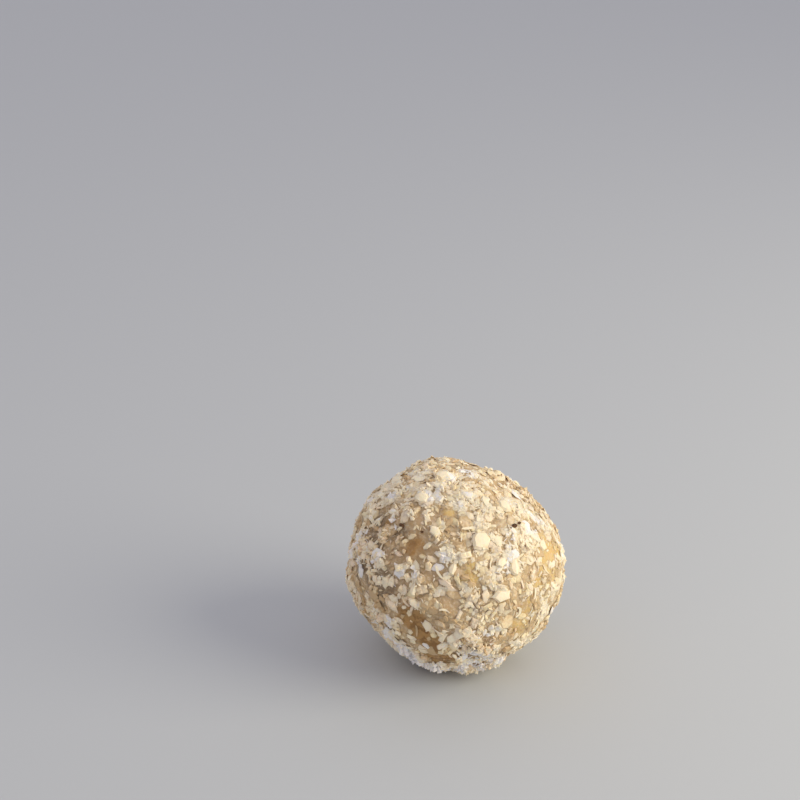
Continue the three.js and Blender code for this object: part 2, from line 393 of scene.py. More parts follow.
class NodeTree:
    """A short way to write shader nodes."""

    def __init__(self, tree: bpy.types.NodeTree) -> None:
        """Keeps the tree that the nodes go into."""
        self.tree = tree

    def put(self, socket: bpy.types.NodeSocket, value: object) -> None:
        """Links an input to an output, or sets the input.

        Args:
            socket: the input.
            value: an output to link from, or a value.
        """
        if isinstance(value, bpy.types.NodeSocket):
            self.tree.links.new(value, socket)
        else:
            socket.default_value = value

    def add(self, kind: str, values: dict | None = None, **settings: object) -> bpy.types.Node:
        """Adds one node.

        Args:
            kind: the node's type without its ShaderNode prefix, or a full type name.
            values: input names or numbers, each with a value or with an output to link from.
            settings: further properties of the node.

        Returns:
            The new node.
        """
        node = self.tree.nodes.new(kind if kind.startswith("Node") else "ShaderNode" + kind)
        for name, value in settings.items():
            setattr(node, name, value)
        for name, value in (values or {}).items():
            self.put(node.inputs[name], value)
        return node

    def attribute(self, name: str) -> bpy.types.NodeSocket:
        """Reads a number that each point of a piece has."""
        return self.add("Attribute", attribute_name=name).outputs["Fac"]

    def math(self, operation: str, first: object, second: object) -> bpy.types.NodeSocket:
        """Adds a math node and returns its output."""
        return self.add("Math", {0: first, 1: second}, operation=operation).outputs[0]

    def ramp(self, value: object, low: object, high: object) -> bpy.types.NodeSocket:
        """Adds a smooth step from 0 at low to 1 at high and returns its output."""
        values = {"Value": value, "From Min": low, "From Max": high}
        return self.add("MapRange", values, interpolation_type="SMOOTHSTEP").outputs["Result"]

    def mix(self, share: object, first: object, second: object) -> bpy.types.NodeSocket:
        """Adds a mix of two colours.

        Args:
            share: share of the second colour.
            first: the first colour.
            second: the second colour.

        Returns:
            The output with the mixed colour.
        """
        node = self.add("Mix", data_type="RGBA")
        ends = {"Factor_Float": share, "A_Color": first, "B_Color": second}
        for socket in node.inputs:
            if socket.identifier in ends:
                self.put(socket, ends[socket.identifier])
        return next(socket for socket in node.outputs if socket.identifier == "Result_Color")


def colour(red: float, green: float, blue: float) -> tuple[float, float, float, float]:
    """Gives a linear colour with full alpha."""
    return (red, green, blue, 1.0)


@dataclass
class Effects:
    """The shader node groups that the finishes share.

    Attributes:
        blotch_detail: octaves of the noise in the blotches.
        blotch_roughness: strength of its finer octaves.
        grain_detail: octaves of the noise in the grain.
        pit_depth: depth of the pits between the grains.
        blotches: the group that makes uneven blotches.
        grain: the group that makes the height of a grainy surface.
    """

    blotch_detail: float = 3.0
    blotch_roughness: float = 0.6
    grain_detail: float = 4.0
    pit_depth: float = 0.6
    blotches: bpy.types.NodeTree = field(init=False)
    grain: bpy.types.NodeTree = field(init=False)

    def __post_init__(self) -> None:
        """Builds each group once."""
        self.blotches = self.make_blotches()
        self.grain = self.make_grain()

    @staticmethod
    def new_group(name: str, numbers: tuple[str, ...], output: str) -> tuple:
        """Starts a node group that works on a place.

        Args:
            name: the group's name.
            numbers: names of the inputs beside the place.
            output: name of the output.

        Returns:
            The group's short writer, its inputs by name and its output.
        """
        group = bpy.data.node_groups.new(name, "ShaderNodeTree")
        group.interface.new_socket("Place", in_out="INPUT", socket_type="NodeSocketVector")
        for label in numbers:
            group.interface.new_socket(label, in_out="INPUT", socket_type="NodeSocketFloat")
        group.interface.new_socket(output, in_out="OUTPUT", socket_type="NodeSocketFloat")
        nodes = NodeTree(group)
        return nodes, nodes.add("NodeGroupInput").outputs, nodes.add("NodeGroupOutput").inputs[output]

    def make_blotches(self) -> bpy.types.NodeTree:
        """Builds uneven blotches of a given size, with soft or hard edges.

        Returns:
            The node group.
        """
        nodes, given, mask = self.new_group("Blotches", ("Size", "Level", "Softness"), "Mask")
        values = {
            "Vector": given["Place"],
            "Scale": nodes.math("DIVIDE", 1.0, given["Size"]),
            "Detail": self.blotch_detail,
            "Roughness": self.blotch_roughness,
        }
        noise = nodes.add("TexNoise", values)
        low = nodes.math("SUBTRACT", given["Level"], given["Softness"])
        high = nodes.math("ADD", given["Level"], given["Softness"])
        nodes.put(mask, nodes.ramp(noise.outputs["Fac"], low, high))
        return nodes.tree

    def make_grain(self) -> bpy.types.NodeTree:
        """Builds the height of a grainy surface.

        Returns:
            The node group.
        """
        nodes, given, height = self.new_group("Grain", ("Size",), "Height")
        place = {"Vector": given["Place"], "Scale": nodes.math("DIVIDE", 1.0, given["Size"])}
        noise = nodes.add("TexNoise", {**place, "Detail": self.grain_detail})
        cells = nodes.add("TexVoronoi", place)
        pits = nodes.math("MULTIPLY", cells.outputs["Distance"], self.pit_depth)
        nodes.put(height, nodes.math("SUBTRACT", noise.outputs["Fac"], pits))
        return nodes.tree


@dataclass(frozen=True)
class Blotch:
    """A kind of blotch in a finish.

    Attributes:
        size: size of one blotch.
        level: level of the noise at which a blotch ends.
        softness: half width of its edge, in levels.
        share: how strongly it shows.
    """

    size: float
    level: float
    softness: float
    share: float = 1.0


@dataclass(frozen=True)
class Finish:
    """What every finish of the ball has.

    Attributes:
        effects: the shared node groups.
        name: the material's name.
        slot: the record's material slot.
        roughness: roughness of the surface.
        gloss: its specular level.
        glow: share of the light that goes in under the surface.
        glow_depth: how deep it goes.
        glow_tint: how deep its red, green and blue go, of that depth.
        grain_size: size of one grain of the surface.
        grain_depth: depth of the grain.
    """

    effects: Effects
    name: str = "finish"
    slot: str = "paste"
    roughness: float = 0.5
    gloss: float = 0.4
    glow: float = 0.0
    glow_depth: float = 1.0
    glow_tint: tuple[float, float, float] = (1.0, 1.0, 1.0)
    grain_size: float = 0.5
    grain_depth: float = 0.1

    def start(self) -> tuple[bpy.types.Material, NodeTree, bpy.types.Node, bpy.types.NodeSocket]:
        """Starts a material with a grainy surface.

        Returns:
            The material, its short writer, its shader and the place on the ball in millimetres.
        """
        material = bpy.data.materials.new(self.name)
        material.use_nodes = True
        material.node_tree.nodes.clear()
        nodes = NodeTree(material.node_tree)
        shader = nodes.add("BsdfPrincipled", {"Roughness": self.roughness, "Specular IOR Level": self.gloss})
        nodes.add("OutputMaterial", {"Surface": shader.outputs["BSDF"]})
        if self.glow:
            nodes.put(shader.inputs["Subsurface Weight"], self.glow)
            nodes.put(shader.inputs["Subsurface Radius"], self.glow_tint)
            nodes.put(shader.inputs["Subsurface Scale"], self.glow_depth * MM)
        metres = nodes.add("TexCoord").outputs["Object"]
        place = nodes.add("VectorMath", {0: metres, "Scale": 1 / MM}, operation="SCALE").outputs["Vector"]
        values = {"Place": place, "Size": self.grain_size}
        grain = nodes.add("Group", values, node_tree=self.effects.grain)
        values = {"Height": grain.outputs["Height"], "Distance": self.grain_depth * MM}
        nodes.put(shader.inputs["Normal"], nodes.add("Bump", values).outputs["Normal"])
        return material, nodes, shader, place

    def blotches(self, nodes: NodeTree, place: object, blotch: Blotch) -> bpy.types.NodeSocket:
        """Places blotches in a material.

        Args:
            nodes: the material's short writer.
            place: the place on the ball.
            blotch: the kind of blotch.

        Returns:
            The output with the mask, from 0 to the blotch's share.
        """
        values = {"Place": place, "Size": blotch.size, "Level": blotch.level, "Softness": blotch.softness}
        group = nodes.add("Group", values, node_tree=self.effects.blotches)
        return nodes.math("MULTIPLY", group.outputs["Mask"], blotch.share)


@dataclass(frozen=True)
class PasteFinish(Finish):
    """Moist golden paste with darker fruit in it and a dusting of coconut.

    Attributes:
        pale, deep: colours of the paste.
        brown, umber, cream, gold, caramel: colours of its patches; umber on the left is partly painted
            shade, and cream along the outline partly painted sheen.
        dark, dust: colours of the darkest fruit, in the caramel patches, and of coconut dust.
        patches, mottling: large and small blotches of the two colours of the paste.
        ragged: blotches that make the edges of the patches uneven.
        dark_fruit, dusting: blotches of the darkest fruit and of dust.
        patch_edge, dark_edge: strengths at which a patch and the darkest fruit start and are full.
        dark_share: how strongly the darkest fruit shows.
        bare_dust: how much less dust lies on bare paste.
        clean_edge: strengths of caramel at which there is no dust and all of it.
        wetness: how much less rough bare paste is.
    """

    name: str = "fruit_paste"
    slot: str = "paste"
    roughness: float = 0.62
    glow: float = 0.5
    glow_depth: float = 1.6
    glow_tint: tuple[float, float, float] = (1.0, 0.7, 0.4)
    grain_size: float = 0.6
    grain_depth: float = 0.12
    pale: tuple = colour(0.63, 0.455, 0.27)
    deep: tuple = colour(0.49, 0.33, 0.175)
    brown: tuple = colour(0.51, 0.35, 0.185)
    umber: tuple = colour(0.30, 0.21, 0.12)
    cream: tuple = colour(0.86, 0.72, 0.50)
    gold: tuple = colour(0.70, 0.475, 0.19)
    caramel: tuple = colour(0.46, 0.262, 0.092)
    dark: tuple = colour(0.24, 0.115, 0.028)
    dust: tuple = colour(0.80, 0.66, 0.47)
    patches: Blotch = Blotch(2.4, 0.5, 0.16)
    mottling: Blotch = Blotch(0.7, 0.55, 0.12, 0.5)
    ragged: Blotch = Blotch(1.1, 0.5, 0.25, 0.3)
    dark_fruit: Blotch = Blotch(1.7, 0.52, 0.1)
    dusting: Blotch = Blotch(0.5, 0.56, 0.1, 0.5)
    patch_edge: tuple[float, float] = (0.05, 0.45)
    dark_edge: tuple[float, float] = (0.2, 0.9)
    dark_share: float = 0.7
    bare_dust: float = 0.6
    clean_edge: tuple[float, float] = (0.9, 0.2)
    wetness: float = 0.2

    def material(self) -> bpy.types.Material:
        """Builds the material.

        Returns:
            The finished material.
        """
        material, nodes, shader, place = self.start()
        base = nodes.mix(self.blotches(nodes, place, self.patches), self.deep, self.pale)
        base = nodes.mix(self.blotches(nodes, place, self.mottling), base, self.deep)
        ragged = self.blotches(nodes, place, self.ragged)
        for name in PasteBall.TINTS:
            edge = nodes.math("SUBTRACT", nodes.attribute(name), ragged)
            base = nodes.mix(nodes.ramp(edge, *self.patch_edge), base, getattr(self, name))
        caramel = nodes.attribute("caramel")
        darker = nodes.math("MULTIPLY", caramel, self.blotches(nodes, place, self.dark_fruit))
        darker = nodes.math("MULTIPLY", nodes.ramp(darker, *self.dark_edge), self.dark_share)
        base = nodes.mix(darker, base, self.dark)
        bare = nodes.attribute("bare")
        left = nodes.math("SUBTRACT", 1.0, nodes.math("MULTIPLY", bare, self.bare_dust))
        left = nodes.math("MULTIPLY", left, nodes.ramp(caramel, *self.clean_edge))
        dusty = nodes.math("MULTIPLY", self.blotches(nodes, place, self.dusting), left)
        nodes.put(shader.inputs["Base Color"], nodes.mix(dusty, base, self.dust))
        wet = nodes.math("MULTIPLY", bare, self.wetness)
        nodes.put(shader.inputs["Roughness"], nodes.math("SUBTRACT", self.roughness, wet))
        return material


@dataclass(frozen=True)
class CoconutFinish(Finish):
    """Dry, slightly see-through coconut, from tan where it has soaked up oil to frosty white, and grey
    painted shade above that.

    Attributes:
        soaked: colour of coconut that is soaked.
        yellow, pink: colours of usual coconut.
        white, fluff: colours of whiter coconut. frost: cool grey painted shade that the highest tones get,
            on the bottom fringe.
        clouds: blotches that make each bit uneven.
        usual_tones: tones at which soaked coconut ends and usual coconut is full.
        white_tones, fluff_tones: tones at which whiter coconut starts and is full; frost_tones: tones at
            which the grey painted shade starts and is full.
        dryness: how much rougher coconut is for each step of tone.
        driest: tone above which it gets no rougher.
    """

    name: str = "desiccated_coconut"
    slot: str = "coconut"
    roughness: float = 0.45
    gloss: float = 0.35
    glow: float = 0.3
    glow_depth: float = 0.4
    glow_tint: tuple[float, float, float] = (1.0, 0.8, 0.55)
    grain_size: float = 0.4
    grain_depth: float = 0.05
    soaked: tuple = colour(0.61, 0.43, 0.235)
    yellow: tuple = colour(0.90, 0.745, 0.465)
    pink: tuple = colour(0.90, 0.725, 0.54)
    white: tuple = colour(0.95, 0.825, 0.615)
    fluff: tuple = colour(0.91, 0.86, 0.81)
    frost: tuple = colour(0.82, 0.80, 0.82)
    clouds: Blotch = Blotch(0.5, 0.5, 0.25, 0.24)
    usual_tones: tuple[float, float] = (0.0, 0.5)
    white_tones: tuple[float, float] = (0.5, 1.0)
    fluff_tones: tuple[float, float] = (1.05, 1.25)
    frost_tones: tuple[float, float] = (1.9, 2.5)
    dryness: float = 0.2
    driest: float = 1.3

    def material(self) -> bpy.types.Material:
        """Builds the material.

        Returns:
            The finished material.
        """
        material, nodes, shader, place = self.start()
        tone = nodes.math("SUBTRACT", nodes.attribute("tone"), self.clouds.share / 2)
        tone = nodes.math("ADD", tone, self.blotches(nodes, place, self.clouds))
        usual = nodes.mix(nodes.attribute("tint"), self.yellow, self.pink)
        base = nodes.mix(nodes.ramp(tone, *self.usual_tones), self.soaked, usual)
        base = nodes.mix(nodes.ramp(tone, *self.white_tones), base, self.white)
        base = nodes.mix(nodes.ramp(tone, *self.fluff_tones), base, self.fluff)
        # Painted shade: the highest tones, pushed up along the bottom fringe, turn a cool grey as if lit
        # only from around.
        base = nodes.mix(nodes.ramp(tone, *self.frost_tones), base, self.frost)
        nodes.put(shader.inputs["Base Color"], base)
        dry = nodes.math("MULTIPLY", nodes.math("MINIMUM", tone, self.driest), self.dryness)
        nodes.put(shader.inputs["Roughness"], nodes.math("ADD", dry, self.roughness))
        return material


@dataclass(frozen=True)
class FruitSkinFinish(Finish):
    """Dark, wrinkled skin of dried fruit.

    Attributes:
        dark, brown: colours of the skin.
        wrinkles: blotches of the two colours.
    """

    name: str = "fruit_skin"
    slot: str = "fruit_skin"
    roughness: float = 0.75
    gloss: float = 0.2
    grain_size: float = 0.2
    grain_depth: float = 0.1
    dark: tuple = colour(0.055, 0.03, 0.018)
    brown: tuple = colour(0.22, 0.11, 0.05)
    wrinkles: Blotch = Blotch(0.3, 0.5, 0.2)

    def material(self) -> bpy.types.Material:
        """Builds the material.

        Returns:
            The finished material.
        """
        material, nodes, shader, place = self.start()
        base = nodes.mix(self.blotches(nodes, place, self.wrinkles), self.dark, self.brown)
        nodes.put(shader.inputs["Base Color"], base)
        return material


def deselect() -> None:
    """Deselects every object."""
    bpy.ops.object.select_all(action="DESELECT")


def edit_all() -> None:
    """Opens the active object in edit mode with everything selected."""
    bpy.ops.object.mode_set(mode="EDIT")
    bpy.ops.mesh.select_all(action="SELECT")


def apply_modifier(kind: str, **settings: object) -> None:
    """Adds a modifier to the active object and applies it.

    Args:
        kind: the modifier's type.
        settings: the modifier's properties.
    """
    modifier = bpy.context.object.modifiers.new(kind.lower(), kind)
    for name, value in settings.items():
        setattr(modifier, name, value)
    bpy.ops.object.modifier_apply(modifier=modifier.name)


def bend(axis: str, degrees: float) -> None:
    """Bends the active object about an axis."""
    angle = math.radians(degrees)
    apply_modifier("SIMPLE_DEFORM", deform_method="BEND", deform_axis=axis, angle=angle)


def mesh_points(mesh: bpy.types.Mesh) -> np.ndarray:
    """Reads the corners of a mesh.

    Args:
        mesh: the mesh.

    Returns:
        The corners, one in each row.
    """
    points = np.empty(len(mesh.vertices) * 3)
    mesh.vertices.foreach_get("co", points)
    return points.reshape(-1, 3)


@dataclass(frozen=True)
class Pattern:
    """The mesh of one bit of coconut, which is copied many times.

    Attributes:
        points: corners of the mesh, one in each row.
        loops: point numbers of all faces, one face after another.
        counts: number of corners of each face.
        size: length, width and thickness that it was modelled at.
    """

    points: np.ndarray
    loops: np.ndarray
    counts: np.ndarray
    size: tuple[float, float, float]


@dataclass(frozen=True)
class PlateKind:
    """A kind of flat bit, of which several are modelled.

    Attributes:
        count: how many are modelled.
        corners: fewest main corners of the outline.
        cuts: further corners along each side.
        wander: how far the corners leave their places, of the length.
        curl: how much they curl, of the usual.
        worn: whether the outer edge is rounded.
        seed: seed of the first one's unevenness.
    """

    count: int
    corners: int
    cuts: int
    wander: float
    curl: float
    worn: bool
    seed: int


@dataclass(frozen=True)
class Cutter:
    """Models the bits of coconut one by one, each at its own proportions.

    Attributes:
        width, thickness: width and thickness of a plate, of its length.
        taper: size of the outer face, of the inner one.
        fray: how far the finer corners leave their places, of the length.
        level: how much of the wander is left across the plate.
        worn_edge, worn_rise: width and height of a rounded edge, of the length.
        dome: how far the middle of the outer face rises, of the length.
        corner_kinds: how many counts of corners the plates of a kind have.
        curls: angles by which plates curl along their length, in degrees.
        shred_width, shred_thickness, shred_steps: width and thickness of a shred, and steps along it.
        shred_wander: how far its corners leave their places.
        shred_narrowing, shred_taper: how much narrower its ends are, and the power of the narrowing.
        bends: angles by which the shreds bend sideways and arch up, in degrees.
        crumb_count, crumb_wander: how many crumbs are modelled, and how uneven they are.
        shred_seed, crumb_seed, seed_step: first seeds of shreds and crumbs, and the step between seeds.
    """

    width: float = 0.65
    thickness: float = 0.12
    taper: float = 0.8
    fray: float = 0.05
    level: float = 0.5
    worn_edge: float = 0.05
    worn_rise: float = 0.01
    dome: float = 0.06
    corner_kinds: int = 3
    curls: tuple[float, ...] = (-25, 0, 18, 40)
    shred_width: float = 0.15
    shred_thickness: float = 0.09
    shred_steps: int = 6
    shred_wander: float = 0.025
    shred_narrowing: float = 0.55
    shred_taper: int = 3
    bends: tuple[tuple[float, float], ...] = (
        (0, 20), (45, 0), (90, 20), (20, 50), (-30, 10), (-70, 30), (10, 30), (170, 10),
    )
    shred_seed: int = 300
    crumb_count: int = 8
    crumb_wander: float = 0.16
    crumb_seed: int = 400
    seed_step: int = 7

    @staticmethod
    def taken(size: tuple[float, float, float] = (1.0, 1.0, 1.0)) -> Pattern:
        """Takes the mesh of the active object as a pattern and removes the object.

        Args:
            size: length, width and thickness that it was modelled at.

        Returns:
            The pattern.
        """
        piece = bpy.context.object
        mesh = piece.data
        points = mesh_points(mesh)
        loops = np.empty(len(mesh.loops), dtype=np.int32)
        mesh.loops.foreach_get("vertex_index", loops)
        counts = np.empty(len(mesh.polygons), dtype=np.int32)
        mesh.polygons.foreach_get("loop_total", counts)
        bpy.data.objects.remove(piece)
        bpy.data.meshes.remove(mesh)
        return Pattern(points, loops, counts, size)

    @staticmethod
    def thicken(thickness: float) -> None:
        """Extrudes the open sheet upwards in edit mode, with its top face left selected."""
        bpy.ops.mesh.extrude_region_move(TRANSFORM_OT_translate={"value": (0, 0, thickness)})

    @staticmethod
    def close_up() -> None:
        """Turns all faces outwards and leaves edit mode."""
        bpy.ops.mesh.select_all(action="SELECT")
        bpy.ops.mesh.normals_make_consistent(inside=False)
        bpy.ops.object.mode_set(mode="OBJECT")

    def plate(self, sides: int, cuts: int, wander: float, curl: float, worn: bool, seed: int) -> Pattern:
        """Models a flat flake with an uneven outline.

        Args:
            sides: main corners of its outline.
            cuts: further corners along each side.
            wander: how far the corners leave their places, of the length.
            curl: angle by which it curls along its length, in degrees.
            worn: whether its outer edge is rounded.
            seed: seed of the unevenness.

        Returns:
            The pattern.
        """
        deselect()
        turn = (0, 0, math.pi / sides - math.pi / 2)
        bpy.ops.mesh.primitive_circle_add(vertices=sides, radius=0.5, fill_type="NGON", rotation=turn)
        bpy.ops.object.transform_apply(location=False, rotation=True, scale=False)
        edit_all()
        bpy.ops.transform.resize(value=(1, self.width, 1))
        bpy.ops.transform.vertex_random(offset=wander, seed=seed)
        if cuts:
            bpy.ops.mesh.subdivide(number_cuts=cuts)
            bpy.ops.transform.vertex_random(offset=self.fray, seed=seed + 1)
        bpy.ops.transform.resize(value=(1, 1, self.level))
        self.thicken(self.thickness)
        middle = (0, 0, self.thickness)
        bpy.ops.transform.resize(value=(self.taper, self.taper, 1), center_override=middle)
        if worn:
            bpy.ops.mesh.inset(thickness=self.worn_edge, depth=self.worn_rise)
        bpy.ops.mesh.poke(offset=self.dome)
        self.close_up()
        bend("Y", curl)
        return self.taken((1.0, self.width, self.thickness))

    def plates(self, kind: PlateKind) -> list[Pattern]:
        """Models several plates of one kind.

        Args:
            kind: the kind of plate.

        Returns:
            The patterns.
        """
        made = []
        for k in range(kind.count):
            sides = kind.corners + k % self.corner_kinds
            curl = kind.curl * self.curls[k % len(self.curls)]
            seed = kind.seed + self.seed_step * k
            made.append(self.plate(sides, kind.cuts, kind.wander, curl, kind.worn, seed))
        return made

    def shred(self, sideways: float, arch: float, seed: int) -> Pattern:
        """Models a thin strip that narrows to its ends.

        Args:
            sideways: angle by which it bends sideways, in degrees.
            arch: angle by which it arches up, in degrees.
            seed: seed of the unevenness.

        Returns:
            The pattern.
        """
        deselect()
        bpy.ops.mesh.primitive_grid_add(x_subdivisions=self.shred_steps, y_subdivisions=1, size=1)
        edit_all()
        bpy.ops.transform.resize(value=(1, self.shred_width, 1))
        bpy.ops.transform.vertex_random(offset=self.shred_wander, seed=seed)
        self.thicken(self.shred_thickness)
        self.close_up()
        for vertex in bpy.context.object.data.vertices:
            along = min(1.0, abs(2 * vertex.co.x))
            vertex.co.y *= 1 - self.shred_narrowing * along**self.shred_taper
        bend("Z", sideways)
        bend("Y", arch)
        return self.taken()

    def shreds(self) -> list[Pattern]:
        """Models a shred for each pair of bends."""
        return [self.shred(*ends, self.shred_seed + self.seed_step * k) for k, ends in enumerate(self.bends)]

    def crumb(self, seed: int) -> Pattern:
        """Models a rough crumb.

        Args:
            seed: seed of the unevenness.

        Returns:
            The pattern.
        """
        deselect()
        bpy.ops.mesh.primitive_ico_sphere_add(subdivisions=1, radius=0.5)
        edit_all()
        bpy.ops.transform.vertex_random(offset=self.crumb_wander, seed=seed)
        bpy.ops.object.mode_set(mode="OBJECT")
        return self.taken()

    def crumbs(self) -> list[Pattern]:
        """Models several crumbs."""
        return [self.crumb(self.crumb_seed + self.seed_step * k) for k in range(self.crumb_count)]


@dataclass
class Lay:
    """The way in which bits of coconut lie on the ball. Each array has one row for each bit.

    Attributes:
        directions: unit vectors from the middle of the ball.
        sizes: length, width and thickness.
        turns: turn about the outward direction.
        leans: angle from lying flat.
        lean_turns: direction of the axis that it leans about.
        lifts: height of its inner face above the paste.
        tones: colour, from soaked at 0 to white at 1, whiter above and grey painted shade at the highest.
        tints: tint, from yellow at 0 to pink at 1.
        patterns: number of the pattern that it has.
        follow: how much all of them follow the lumps of the paste, from 0 to 1.
    """

    directions: np.ndarray
    sizes: np.ndarray
    turns: np.ndarray
    leans: np.ndarray
    lean_turns: np.ndarray
    lifts: np.ndarray
    tones: np.ndarray
    tints: np.ndarray
    patterns: np.ndarray
    follow: float

    def joined_with(self, other: "Lay") -> "Lay":
        """Adds the bits of another lay, which follow the paste as these do.

        Args:
            other: the other lay.

        Returns:
            A lay of all the bits.
        """
        names = [item.name for item in fields(self) if item.name != "follow"]
        both = {name: np.concatenate((getattr(self, name), getattr(other, name))) for name in names}
        return Lay(**both, follow=self.follow)

    def rotations(self, normals: np.ndarray) -> np.ndarray:
        """Finds the matrix that turns each bit from flat on the table to its place.

        Args:
            normals: outward directions that the bits lie flat to.

        Returns:
            One 3 by 3 matrix for each bit.
        """
        level = np.cross((0.0, 0.0, 1.0), normals)
        level /= np.linalg.norm(level, axis=1)[:, None]
        basis = np.stack((level, np.cross(normals, level), normals), axis=2)
        cos, sin = np.cos(self.turns), np.sin(self.turns)
        zero, one = np.zeros_like(cos), np.ones_like(cos)
        spin = np.stack((cos, -sin, zero, sin, cos, zero, zero, zero, one), axis=1).reshape(-1, 3, 3)
        x, y = np.cos(self.lean_turns), np.sin(self.lean_turns)
        cos, sin = np.cos(self.leans), np.sin(self.leans)
        rows = (
            cos + x * x * (1 - cos), x * y * (1 - cos), y * sin,
            x * y * (1 - cos), cos + y * y * (1 - cos), -x * sin,
            -y * sin, x * sin, cos,
        )
        tilt = np.stack(rows, axis=1).reshape(-1, 3, 3)
        return basis @ tilt @ spin


def new_piece(name: str, points: np.ndarray, loops: np.ndarray, counts: np.ndarray) -> bpy.types.Object:
    """Makes an object from arrays.

    Args:
        name: the piece's name.
        points: corners in metres, one in each row.
        loops: point numbers of all faces, one face after another.
        counts: number of corners of each face.

    Returns:
        The new object.
    """
    mesh = bpy.data.meshes.new(name)
    mesh.vertices.add(len(points))
    mesh.vertices.foreach_set("co", points.ravel())
    mesh.loops.add(len(loops))
    mesh.loops.foreach_set("vertex_index", loops)
    mesh.polygons.add(len(counts))
    mesh.polygons.foreach_set("loop_start", np.cumsum(counts) - counts)
    mesh.update(calc_edges=True)
    mesh.validate()
    piece = bpy.data.objects.new(name, mesh)
    bpy.context.collection.objects.link(piece)
    return piece


def set_attribute(piece: bpy.types.Object, name: str, values: np.ndarray) -> None:
    """Stores one number for each point of a piece."""
    attribute = piece.data.attributes.new(name, "FLOAT", "POINT")
    attribute.data.foreach_set("value", values.astype(np.float32))


def finish_piece(piece: bpy.types.Object, material: bpy.types.Material, slot: str) -> None:
    """Gives a piece its material and its place in the frame.

    Args:
        piece: the piece.
        material: its material.
        slot: the record's material slot.
    """
    piece.data.materials.clear()
    piece.data.materials.append(material)
    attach(piece, BODY)
    log.info("%s: %d faces, slot %s", piece.name, len(piece.data.polygons), slot)


